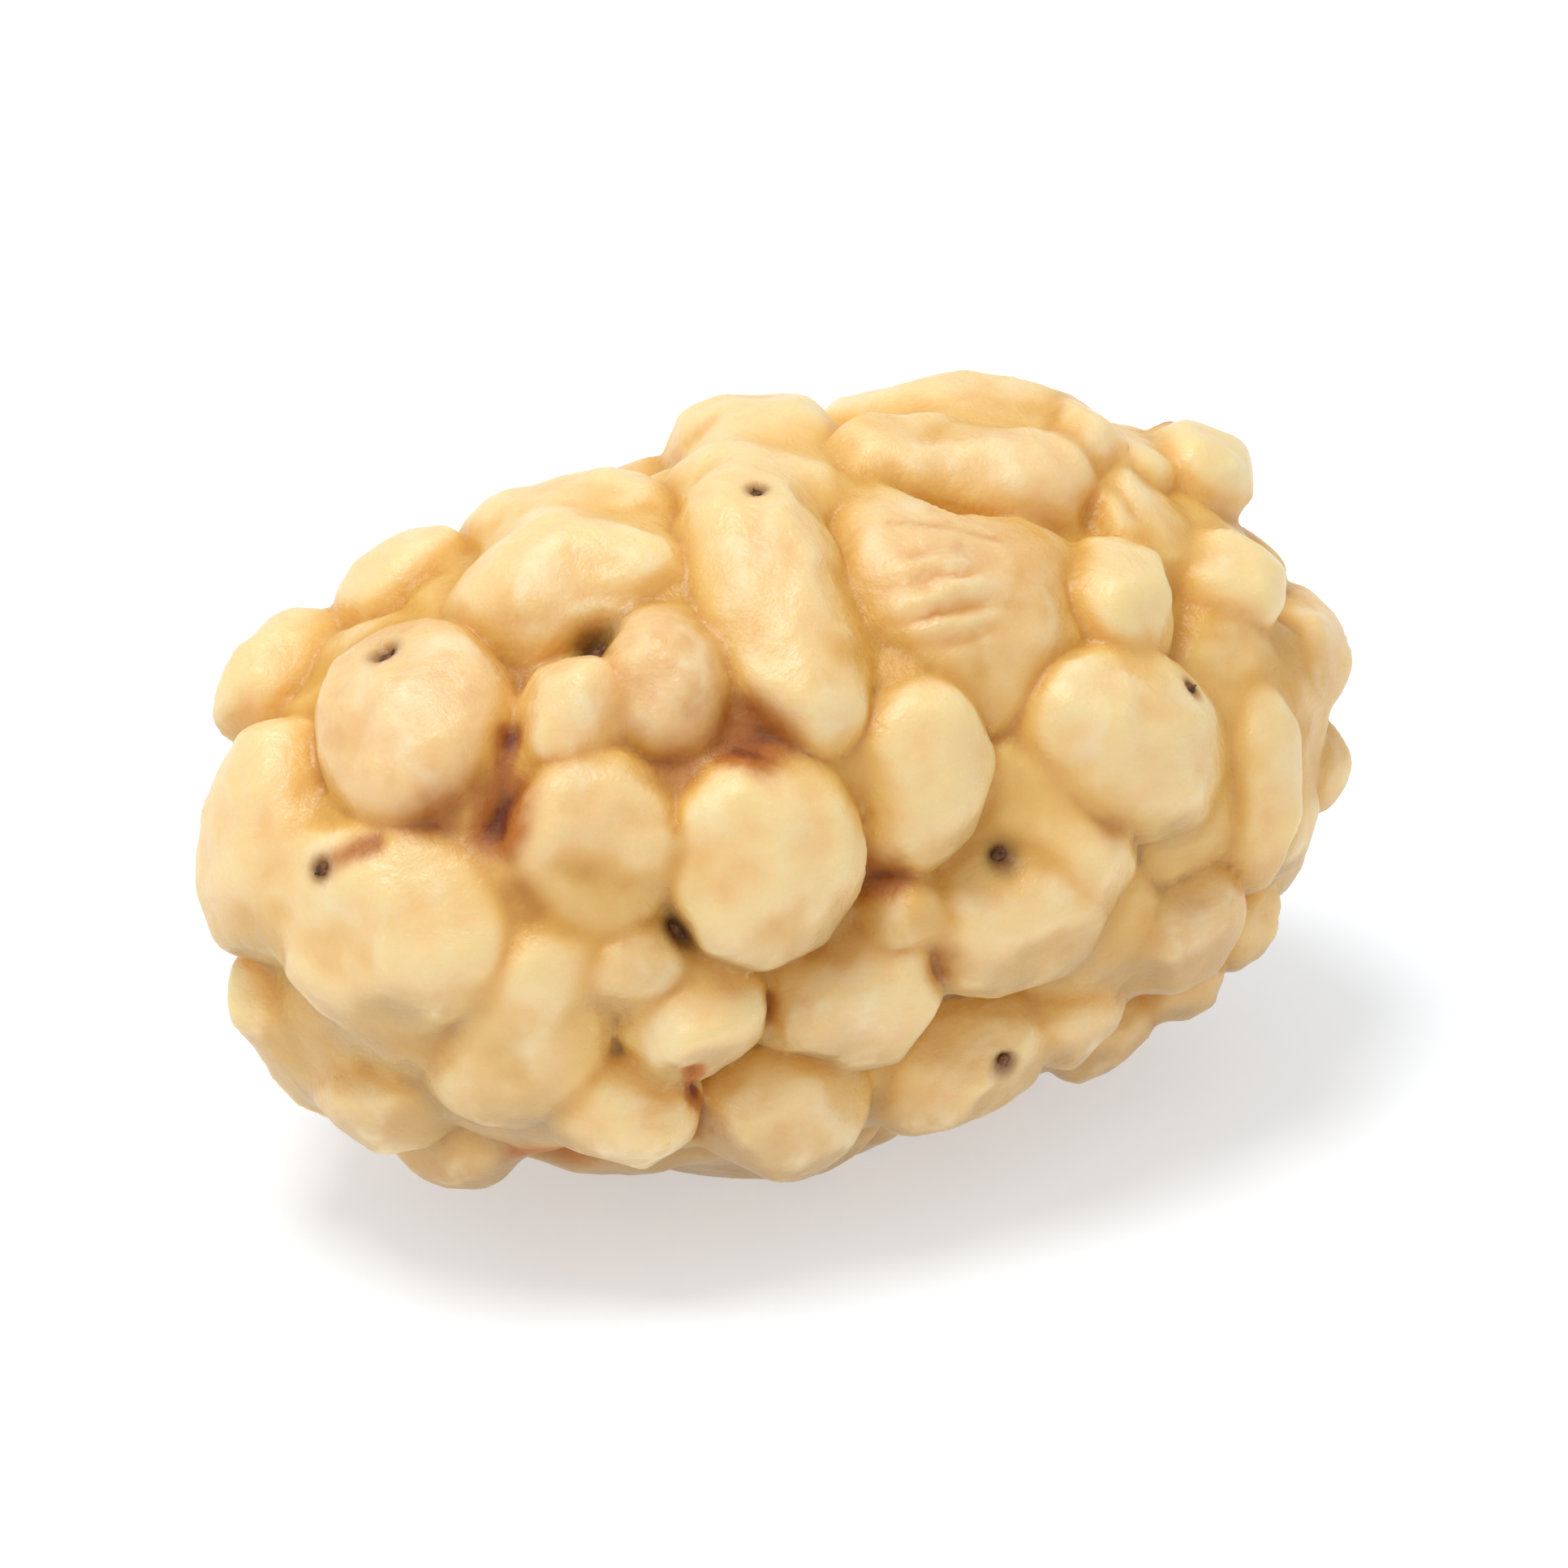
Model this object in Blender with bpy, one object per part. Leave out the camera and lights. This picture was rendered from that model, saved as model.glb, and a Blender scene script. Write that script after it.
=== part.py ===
"""One dried white mulberry, lying on its side.

The berry is a head of small plump drupelets. Each one dried to two to four waxy lobes round
the stub of its stigma, and neighbouring lobes are pressed together. The lobes are soft
facetted pillows with their roots sunk in a smaller core, all fused into one body.

The shapes are worked out in millimetres, with +X along the berry towards its stalk end and
+Z up, and written to the mesh in metres.
"""
import math
import random

import bmesh
import bpy
from mathutils import Matrix, Vector

MM = 0.001

# Driving dimensions of the berry over the crowns of its lobes
LENGTH = 16.2
WIDTH = 9.8
HEIGHT = 10.0
BLUNTNESS = 2.4        # 2 gives an egg, more gives a barrel with blunt ends
LOBE_DEPTH = 1.05      # from a lobe's crown down to its middle
CORE_DEPTH = 0.85      # from the crowns down to the core
PRESSED_FLAT = 0.337   # what drying on a tray took off the lowest lobes

# How the photograph sees the berry
VIEW_TURN = math.radians(-29)
VIEW_TILT = math.radians(28)
PIXELS_PER_MM = 26.3
MIDDLE_PIXEL = (832, 1227)
SIGHT_STEPS = 400          # along a line of sight, from the near side to the berry's middle

# The lobes that the photograph shows: where each one's middle is in it, in pixels, then in
# millimetres how long and how wide it is and how far its middle is lifted off the barrel that
# most middles lie on, and in degrees how its length slopes up to the right.
SEEN_LOBES = {
    "tip_upper": (663, 1186, 2.00, 1.40, 0.20, 59),
    "tip_crest": (705, 1163, 1.95, 1.70, 0.12, 0),
    "tip_cheek": (706, 1203, 2.45, 2.00, 0.22, 90),
    "crest": (758, 1142, 2.75, 1.95, 0.06, 10),
    "crest_front": (764, 1157, 2.30, 1.55, 0.09, 5),
    "crest_side": (742, 1171, 1.50, 1.25, -0.03, 0),
    "pink": (793, 1192, 1.75, 1.50, 0.05, 90),
    "bead": (759, 1202, 1.35, 1.15, 0.15, 60),
    "ridge_near": (820, 1112, 2.45, 1.60, 0.10, 0),
    "ridge_near_front": (824, 1130, 2.15, 1.60, 0.08, 0),
    "tongue": (829, 1166, 3.40, 1.75, 0.21, -68),
    "beside_tongue": (862, 1155, 2.50, 1.45, -0.25, -72),
    "ridge_middle": (891, 1108, 2.95, 1.80, 0.14, 0),
    "ridge_patch": (866, 1123, 1.90, 1.35, 0.05, 20),
    "collar": (909, 1126, 1.90, 1.40, 0.02, 0),
    "rough": (887, 1161, 1.95, 1.75, -0.03, 0),
    "below_rough": (897, 1187, 2.30, 1.45, -0.30, 0),
    "sunk_fold": (915, 1160, 1.80, 1.25, -0.30, 90),
    "pleat_near": (929, 1114, 2.30, 0.95, 0.16, -65),
    "pleat_far": (953, 1115, 2.50, 0.90, 0.18, -65),
    "ridge_far": (974, 1115, 2.10, 1.20, 0.15, -75),
    "chip_near": (942, 1163, 1.55, 1.42, 0.10, 90),
    "chip_far": (979, 1158, 1.40, 1.25, 0.07, 0),
    "shoulder": (947, 1209, 2.65, 1.95, 0.20, -25),
    "edge_upper": (1008, 1177, 2.10, 1.25, 0.08, 85),
    "edge_lower": (1012, 1215, 1.40, 0.95, 0.00, 70),
    "edge_strip": (986, 1223, 2.30, 1.20, 0.05, 88),
    "facet": (875, 1219, 2.05, 1.65, 0.12, 80),
    "sunk_pocket": (914, 1220, 1.90, 1.50, -0.30, 60),
    "egg": (825, 1247, 2.30, 2.05, 0.27, 85),
    "fallen": (766, 1242, 1.95, 1.90, 0.02, 0),
    "big": (699, 1271, 2.70, 2.25, 0.17, -12),
    "tip": (658, 1242, 2.50, 1.65, 0.36, 80),
    "tip_low": (668, 1308, 2.20, 1.20, 0.12, -58),
    "tip_foot": (701, 1325, 1.55, 1.25, 0.15, 0),
    "belly_near": (742, 1301, 2.60, 1.95, 0.03, 64),
    "tan_near": (778, 1281, 1.30, 1.05, -0.15, 0),
    "belly_middle": (800, 1301, 1.60, 1.40, 0.16, 0),
    "foot_near": (777, 1331, 1.60, 1.50, 0.40, 0),
    "foot_middle": (829, 1331, 1.90, 1.85, 0.36, 0),
    "foot_tip": (721, 1341, 2.00, 1.35, 0.18, 0),
    "tan_middle": (837, 1292, 1.30, 1.20, -0.12, 0),
    "between": (869, 1265, 1.15, 0.95, -0.08, 60),
    "wedge": (863, 1291, 1.75, 1.40, 0.12, 57),
    "flank": (905, 1267, 2.35, 1.70, 0.08, 10),
    "flank_top": (930, 1247, 1.45, 1.25, -0.03, 60),
    "foot_far": (888, 1316, 2.00, 1.55, 0.34, 20),
    "low_near": (922, 1298, 1.55, 1.20, 0.06, 0),
    "tan_far": (962, 1266, 1.85, 1.65, 0.02, 90),
    "low_middle": (939, 1308, 1.30, 1.15, 0.05, 0),
    "low_far": (967, 1290, 1.20, 1.05, 0.05, 0),
    "edge_foot": (989, 1271, 1.20, 0.90, 0.00, 60),
}
LEAST_FACING = 0.15        # a lobe nearer edge-on than this keeps this cosine for its slope
EDGE_FULLNESS = 1.01       # a middle farther out than this on its barrel is at the view's edge

# The drupelets of the sides that the photograph hides
DRUPELET_PITCH = 3.0
DRUPELET_CLEAR = 2.1       # from a drupelet's middle to the nearest lobe of another
LOBES_EACH = (3, 4, 4)
LOBE_RING = 0.92           # from a drupelet's middle to its lobes' middles
RING_CLEAR = 0.96          # from those to the nearest lobe that the photograph shows
LOBE_LONG = (1.75, 2.25)
LOBE_WIDE = (1.35, 1.75)
RING_SPREAD = (0.9, 1.1)   # each lobe's share of the ring's size
RING_PROUD = (-0.10, 0.12)
HIDDEN_FROM = -0.20        # a drupelet faces the eye less than this, as a cosine
FILL_PITCH = 1.20          # a gap this wide between lobes gets one more
FILL_PROUD = (-0.12, 0.05)
FACING_FROM = -0.30        # a gap that faces the eye more than this gets a sunk lobe
SUNK_PROUD = (-0.38, -0.28)
SPIRAL_POINTS = 2600
SEED = 61

# The stub where the stalk broke away, sunk between the lobes of its end
STUB_RADIUS = 0.62
STUB_TAPER = 0.85          # its broken end over its root
STUB_SINK = 0.35           # from the crowns down to its broken end
STUB_ROOTED = 1.0          # how far it starts inside the core
STUB_SIDES = 14
STUB_CLEAR = 1.45          # from its end's middle to the nearest filling lobe

# How the lobes' outsides are shaped
GROWTH = 1.29              # neighbours overlap, so each is larger than the part that shows
PILLOW = 2.15              # 2 gives a ball, more gives a flatter crown and fuller shoulders
FACETS_EACH = 7
FACET_REACH = (0.80, 0.95)
FACET_LEAN = (0.05, 1.0)   # from a facet's way out to the lobe's, in radians
FACET_EDGE = 28            # higher gives crisper edges between facets
SIDES_PER_MM = 3.9         # round a lobe, for each millimetre of its length
FEWEST_SIDES = 7
PARALLELS = 5
CORE_CUTS = 3

COLOUR = (0.84, 0.66, 0.38, 1.0)
ROUGHNESS = 0.45
CREASE_FROM = math.radians(60)     # steeper folds than this stay crisp, and the rest shade smooth


def clear_scene():
    for thing in list(bpy.data.objects):
        bpy.data.objects.remove(thing, do_unlink=True)


def view_axes():
    """To the right, up and towards the eye in the photograph."""
    right = Vector((math.cos(VIEW_TURN), math.sin(VIEW_TURN), 0))
    towards = Vector((math.sin(VIEW_TURN) * math.cos(VIEW_TILT),
                      -math.cos(VIEW_TURN) * math.cos(VIEW_TILT), math.sin(VIEW_TILT)))
    return right, towards.cross(right), towards


def fullness(point, depth):
    """1 on the barrel that lies depth under the crowns, less inside it."""
    along = abs(point.x) / (LENGTH / 2 - depth)
    across = math.hypot(point.y / (WIDTH / 2 - depth), point.z / (HEIGHT / 2 - depth))
    return (along ** BLUNTNESS + across ** BLUNTNESS) ** (1 / BLUNTNESS)


def outward(point, depth):
    step = 1e-3
    slope = [fullness(point + step * axis, depth) - fullness(point - step * axis, depth)
             for axis in (Vector((1, 0, 0)), Vector((0, 1, 0)), Vector((0, 0, 1)))]
    return Vector(slope).normalized()


def on_barrel(point, depth):
    return point / fullness(point, depth)


def seen_point(pixel_x, pixel_y, depth):
    """Where the line of sight of a pixel first meets the barrel, or passes nearest to it."""
    right, up, towards = view_axes()
    start = (right * (pixel_x - MIDDLE_PIXEL[0]) + up * (MIDDLE_PIXEL[1] - pixel_y)) / PIXELS_PER_MM
    places = [start + towards * (LENGTH / 2 * (1 - i / SIGHT_STEPS)) for i in range(2 * SIGHT_STEPS + 1)]
    for place in places:
        if fullness(place, depth) <= 1:
            return place
    return min(places, key=lambda place: fullness(place, depth))


def lobe(middle, length, width, rise, long_way):
    """A lobe's frame: its middle, its axes and its half sizes."""
    out = outward(middle, LOBE_DEPTH)
    along = (long_way - out * long_way.dot(out)).normalized()
    return {"middle": middle, "axes": (along, out.cross(along), out),
            "halves": (GROWTH * length / 2, GROWTH * width / 2, rise)}


def seen_lobes():
    """The lobes of the photograph, each with its middle on a line of sight. One out at the edge
    of the view keeps its place there, and rises only as far as it is wide."""
    right, up, towards = view_axes()
    lobes = []
    for pixel_x, pixel_y, length, width, proud, slope in SEEN_LOBES.values():
        depth = LOBE_DEPTH - proud
        middle = seen_point(pixel_x, pixel_y, depth)
        at_edge = fullness(middle, depth) > EDGE_FULLNESS
        angle = math.radians(slope)
        sloping = right * math.cos(angle) + up * math.sin(angle)
        out = outward(middle, depth)
        facing = max(out.dot(towards), LEAST_FACING)
        long_way = sloping - towards * (sloping.dot(out) / facing)
        rise = GROWTH * width / 2 if at_edge else LOBE_DEPTH
        lobes.append(lobe(middle, length, width, rise, long_way))
    return lobes


def spiral():
    """Points evenly round and along the barrel, from the stalk end to the tip."""
    golden_turn = math.pi * (3 - math.sqrt(5))
    for i in range(SPIRAL_POINTS):
        along = 1 - 2 * (i + 0.5) / SPIRAL_POINTS
        ring = math.sqrt(1 - along * along)
        turn = i * golden_turn
        way = Vector((along * LENGTH, ring * math.cos(turn) * WIDTH, ring * math.sin(turn) * HEIGHT))
        yield on_barrel(way, LOBE_DEPTH)


def clear_of(point, others, gap):
    return all((point - other).length >= gap for other in others)


def hidden_drupelets(taken, rng):
    """Drupelets in spiral order wherever there is room, each a ring of lobes."""
    stub = Vector((LENGTH / 2 - LOBE_DEPTH, 0, 0))
    towards = view_axes()[2]
    middles, lobes = [], []
    for point in spiral():
        if outward(point, LOBE_DEPTH).dot(towards) > HIDDEN_FROM:
            continue
        if not clear_of(point, taken, DRUPELET_CLEAR) or not clear_of(point, middles, DRUPELET_PITCH):
            continue
        if (point - stub).length < STUB_CLEAR + LOBE_RING:
            continue
        middles.append(point)
        out = outward(point, LOBE_DEPTH)
        sideways = out.orthogonal().normalized()
        count = rng.choice(LOBES_EACH)
        first_turn = rng.uniform(0, math.tau)
        for i in range(count):
            turn = Matrix.Rotation(first_turn + math.tau * i / count, 3, out)
            way = turn @ sideways
            middle = on_barrel(point + way * LOBE_RING * rng.uniform(*RING_SPREAD), LOBE_DEPTH)
            if clear_of(middle, taken, RING_CLEAR):
                lobes.append(lobe(middle, rng.uniform(*LOBE_LONG), rng.uniform(*LOBE_WIDE),
                                  LOBE_DEPTH + rng.uniform(*RING_PROUD), way.cross(out)))
    return middles, lobes


def filling_lobes(taken, rng):
    """More lobes, in spiral order, where a gap would show the core."""
    stub = Vector((LENGTH / 2 - LOBE_DEPTH, 0, 0))
    towards = view_axes()[2]
    taken, lobes = list(taken), []
    for point in spiral():
        if clear_of(point, taken, FILL_PITCH) and (point - stub).length >= STUB_CLEAR:
            taken.append(point)
            way = Vector((rng.uniform(-1, 1), rng.uniform(-1, 1), rng.uniform(-1, 1)))
            facing = outward(point, LOBE_DEPTH).dot(towards) > FACING_FROM
            proud = rng.uniform(*(SUNK_PROUD if facing else FILL_PROUD))
            lobes.append(lobe(point, rng.uniform(*LOBE_LONG), rng.uniform(*LOBE_WIDE),
                              LOBE_DEPTH + proud, way))
    return lobes


def pillow_reach(way, facets):
    """How far a lobe of half size 1 reaches in a direction: a pillow clipped by soft facets."""
    pillow = (math.hypot(way.x, way.y) ** PILLOW + abs(way.z) ** PILLOW) ** (1 / PILLOW)
    clipped = pillow ** FACET_EDGE
    for facing, reach in facets:
        clipped += max(0.0, way.dot(facing) / reach) ** FACET_EDGE
    return clipped ** (-1 / FACET_EDGE)


def lobe_facets(rng):
    facets = []
    for _ in range(FACETS_EACH):
        turn = rng.uniform(0, math.tau)
        lean = rng.uniform(*FACET_LEAN)
        facing = Vector((math.cos(turn) * math.sin(lean), math.sin(turn) * math.sin(lean), math.cos(lean)))
        facets.append((facing, rng.uniform(*FACET_REACH)))
    return facets


def lobe_mesh(name, shape, rng):
    """A globe of few sides whose pole is the lobe's crown."""
    facets = lobe_facets(rng)
    sides = max(FEWEST_SIDES, round(SIDES_PER_MM * 2 * shape["halves"][0] / GROWTH))
    bm = bmesh.new()
    bmesh.ops.create_uvsphere(bm, u_segments=sides, v_segments=PARALLELS, radius=1)
    for vert in bm.verts:
        way = vert.co.normalized()
        reach = pillow_reach(way, facets)
        place = shape["middle"].copy()
        for axis, half, part in zip(shape["axes"], shape["halves"], way):
            place += axis * (half * part * reach)
        vert.co = place
    mesh = bpy.data.meshes.new(name)
    bm.to_mesh(mesh)
    bm.free()
    return mesh


def core_mesh():
    bm = bmesh.new()
    bmesh.ops.create_icosphere(bm, subdivisions=CORE_CUTS, radius=1)
    for vert in bm.verts:
        way = Vector((vert.co.x * LENGTH, vert.co.y * WIDTH, vert.co.z * HEIGHT))
        vert.co = on_barrel(way, CORE_DEPTH)
    mesh = bpy.data.meshes.new("mulberry")
    bm.to_mesh(mesh)
    bm.free()
    return mesh


def stub_mesh():
    """A short tapered peg along +X, from inside the core to its broken end."""
    root, end = LENGTH / 2 - CORE_DEPTH - STUB_ROOTED, LENGTH / 2 - STUB_SINK
    bm = bmesh.new()
    bmesh.ops.create_cone(bm, cap_ends=True, segments=STUB_SIDES, radius1=STUB_RADIUS,
                          radius2=STUB_RADIUS * STUB_TAPER, depth=end - root)
    bmesh.ops.transform(bm, matrix=Matrix.Translation(((root + end) / 2, 0, 0))
                        @ Matrix.Rotation(math.pi / 2, 4, "Y"), verts=bm.verts)
    mesh = bpy.data.meshes.new("stub")
    bm.to_mesh(mesh)
    bm.free()
    return mesh


def add_object(name, mesh, collection):
    thing = bpy.data.objects.new(name, mesh)
    collection.objects.link(thing)
    return thing


def fuse(thing, others, operation):
    """Apply one Boolean of thing with a collection of others, then drop the collection.
    The exact solver leaves an edge pinched where so many lobes cross, so this one is used."""
    boolean = thing.modifiers.new("fuse", "BOOLEAN")
    boolean.operation = operation
    boolean.solver = "MANIFOLD"
    boolean.operand_type = "COLLECTION"
    boolean.collection = others
    seen = thing.evaluated_get(bpy.context.evaluated_depsgraph_get())
    fused = bpy.data.meshes.new_from_object(seen)
    thing.modifiers.clear()
    thing.data = fused
    for other in list(others.objects):
        bpy.data.objects.remove(other, do_unlink=True)
    bpy.data.collections.remove(others)


def islands(bm):
    """The separate closed sheets of a mesh, as lists of faces."""
    left, sheets = set(bm.faces), []
    while left:
        sheet, edge_of_search = [], [left.pop()]
        while edge_of_search:
            face = edge_of_search.pop()
            sheet.append(face)
            for edge in face.edges:
                for neighbour in edge.link_faces:
                    if neighbour in left:
                        left.remove(neighbour)
                        edge_of_search.append(neighbour)
        sheets.append(sheet)
    return sheets


def keep_outer_skin(mesh):
    """Keep only the largest sheet: this fills sealed hollows and drops loose scraps."""
    bm = bmesh.new()
    bm.from_mesh(mesh)
    sheets = sorted(islands(bm), key=len)
    for sheet in sheets[:-1]:
        bmesh.ops.delete(bm, geom=sheet, context="FACES")
    bm.to_mesh(mesh)
    bm.free()


def press_flat(berry):
    """Cut the lowest lobes off level, so that the berry lies on small flats."""
    lowest = min(vert.co.z for vert in berry.data.vertices)
    bm = bmesh.new()
    bmesh.ops.create_cube(bm, size=2 * LENGTH)
    for vert in bm.verts:
        vert.co.z += lowest + PRESSED_FLAT - LENGTH
    mesh = bpy.data.meshes.new("tray")
    bm.to_mesh(mesh)
    bm.free()
    trays = bpy.data.collections.new("trays")
    bpy.context.scene.collection.children.link(trays)
    add_object("tray", mesh, trays)
    fuse(berry, trays, "DIFFERENCE")


def set_on_surface(mesh):
    """Centre the berry over the origin with its flats at height 0, and turn mm to metres."""
    lows = [min(vert.co[i] for vert in mesh.vertices) for i in range(3)]
    highs = [max(vert.co[i] for vert in mesh.vertices) for i in range(3)]
    shift = Vector((-(lows[0] + highs[0]) / 2, -(lows[1] + highs[1]) / 2, -lows[2]))
    mesh.transform(Matrix.Scale(MM, 4) @ Matrix.Translation(shift))


def berry_material():
    material = bpy.data.materials.new("dried_mulberry_flesh")
    material.use_nodes = True
    shader = material.node_tree.nodes["Principled BSDF"]
    shader.inputs["Base Color"].default_value = COLOUR
    shader.inputs["Roughness"].default_value = ROUGHNESS
    shader.inputs["Metallic"].default_value = 0.0
    return material


def all_lobes():
    rng = random.Random(SEED)
    lobes = seen_lobes()
    taken = [shape["middle"] for shape in lobes]
    drupelets, hidden = hidden_drupelets(taken, rng)
    lobes += hidden
    taken += [shape["middle"] for shape in hidden]
    lobes += filling_lobes(taken, rng)
    return lobes, drupelets


def make_berry():
    berry = add_object("mulberry", core_mesh(), bpy.context.scene.collection)
    head = bpy.data.collections.new("lobes")
    bpy.context.scene.collection.children.link(head)
    rng = random.Random(SEED + 1)
    lobes, _ = all_lobes()
    for i, shape in enumerate(lobes):
        add_object(f"lobe_{i}", lobe_mesh(f"lobe_{i}", shape, rng), head)
    add_object("stub", stub_mesh(), head)
    fuse(berry, head, "UNION")
    press_flat(berry)
    keep_outer_skin(berry.data)
    set_on_surface(berry.data)
    berry.data.materials.clear()
    berry.data.materials.append(berry_material())
    berry.data.shade_smooth()
    berry.data.set_sharp_from_angle(angle=CREASE_FROM)
    print("lobes", len(lobes), "faces", len(berry.data.polygons))
    return berry


clear_scene()
make_berry()
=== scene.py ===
# %% [markdown]
# # One dried white mulberry
# A white mulberry is a head of small drupelets. Drying shrinks each drupelet to a few waxy lobes
# round the dark stub of its stigma, and presses neighbours together until only seams and pits are
# left between them. The packed solid has that form with few sides. This script builds the same
# lobes again, fine enough for a close look, and gives them the cream and honey of the real fruit.
#
# One skin is drawn over all the lobes, because a berry could never be cut apart into them. Its
# points are then moved by what drying did: seams, pits, dimples, folds, flat patches and wrinkles.

# %% Load the frame
import math
import random

import bmesh
import bpy
import numpy as np
from mathutils import Matrix, Vector, noise
from mathutils.bvhtree import BVHTree


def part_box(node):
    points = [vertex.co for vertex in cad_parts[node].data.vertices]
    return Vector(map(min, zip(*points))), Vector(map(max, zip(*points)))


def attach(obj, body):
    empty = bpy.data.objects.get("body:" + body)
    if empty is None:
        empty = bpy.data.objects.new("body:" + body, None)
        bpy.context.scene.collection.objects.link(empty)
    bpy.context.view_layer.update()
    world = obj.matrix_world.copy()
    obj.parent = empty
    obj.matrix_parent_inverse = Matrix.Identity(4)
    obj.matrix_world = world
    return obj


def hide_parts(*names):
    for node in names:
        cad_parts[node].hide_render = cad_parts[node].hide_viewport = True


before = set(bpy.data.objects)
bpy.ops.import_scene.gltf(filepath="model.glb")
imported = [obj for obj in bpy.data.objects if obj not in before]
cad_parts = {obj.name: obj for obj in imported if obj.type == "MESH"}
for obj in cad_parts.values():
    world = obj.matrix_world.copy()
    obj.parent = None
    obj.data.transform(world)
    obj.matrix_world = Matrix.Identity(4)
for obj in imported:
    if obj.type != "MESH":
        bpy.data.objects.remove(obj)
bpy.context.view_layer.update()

NODE_LOW, NODE_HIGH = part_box("mulberry")
MM = 0.001
print("node from", [round(c / MM, 2) for c in NODE_LOW], "to", [round(c / MM, 2) for c in NODE_HIGH], "mm")

# %% [markdown]
# ## The barrel that the lobes lie on
# The berry is measured over the crowns of its lobes. Every lobe has its middle on a barrel some
# way under them, which is an egg shape with blunter ends. A formula gives it, so that any place can
# be tested against it and any way out of it measured. Sizes are in millimetres until the end.

# %% The barrel
LENGTH = 16.2
WIDTH = 9.8
HEIGHT = 10.0
BLUNTNESS = 2.4
LOBE_DEPTH = 1.05
CORE_DEPTH = 0.85
SLOPE_STEP = 1e-3


def fullness(point, depth):
    """1 on the barrel that lies depth under the crowns, less inside it."""
    along = abs(point.x) / (LENGTH / 2 - depth)
    across = math.hypot(point.y / (WIDTH / 2 - depth), point.z / (HEIGHT / 2 - depth))
    return (along ** BLUNTNESS + across ** BLUNTNESS) ** (1 / BLUNTNESS)


def outward(point, depth):
    """The way straight out of the barrel at a point."""
    steps = [SLOPE_STEP * axis for axis in (Vector((1, 0, 0)), Vector((0, 1, 0)), Vector((0, 0, 1)))]
    slope = [fullness(point + step, depth) - fullness(point - step, depth) for step in steps]
    return Vector(slope).normalized()


def on_barrel(point, depth):
    return point / fullness(point, depth)


print("barrel of", [round(size - 2 * LOBE_DEPTH, 2) for size in (LENGTH, WIDTH, HEIGHT)], "mm")

# %% [markdown]
# ## The photograph's view
# The photograph looks down on the berry from its left. Places read from it are pixels, and a line
# of sight through a pixel meets the barrel in one place, so every pixel gives a place on the berry.
# A long lens flattens depth, so all lines of sight are taken as running side by side.

# %% How the photograph sees the berry
VIEW_TURN = math.radians(-29)
VIEW_TILT = math.radians(28)
PIXELS_PER_MM = 26.3
MIDDLE_PIXEL = (832, 1227)
SIGHT_STEPS = 400

RIGHT = Vector((math.cos(VIEW_TURN), math.sin(VIEW_TURN), 0))
TOWARDS = Vector((math.sin(VIEW_TURN) * math.cos(VIEW_TILT),
                  -math.cos(VIEW_TURN) * math.cos(VIEW_TILT), math.sin(VIEW_TILT)))
UP = TOWARDS.cross(RIGHT)


def sight_line(pixel_x, pixel_y):
    """The place of a pixel on the plane through the berry's middle that faces the eye."""
    return (RIGHT * (pixel_x - MIDDLE_PIXEL[0]) + UP * (MIDDLE_PIXEL[1] - pixel_y)) / PIXELS_PER_MM


def seen_point(pixel_x, pixel_y, depth):
    """Where the line of sight of a pixel first meets the barrel, or passes nearest to it."""
    start = sight_line(pixel_x, pixel_y)
    places = [start + TOWARDS * (LENGTH / 2 * (1 - i / SIGHT_STEPS)) for i in range(2 * SIGHT_STEPS + 1)]
    for place in places:
        if fullness(place, depth) <= 1:
            return place
    return min(places, key=lambda place: fullness(place, depth))


print("the middle pixel meets the barrel at", [round(c, 2) for c in seen_point(*MIDDLE_PIXEL, LOBE_DEPTH)])

# %% [markdown]
# ## The lobes that show in the photograph
# Each line is one lobe: the pixel of its middle, its length, its width, how far its middle is
# lifted off the barrel in millimetres, and how its length slopes in the picture in degrees. The
# last three numbers are its looks, from 0 to 1: how tan it is, how rosy, and how much amber shows
# through it. Reading them one by one takes longer than scattering lobes, but no two berries have
# the same arrangement, so it is what makes this one itself.
#
# Some neighbours have melted together as they dried, until only a soft valley is left between
# them. They are listed as groups, and everything after this treats a group as one lobe.

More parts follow.
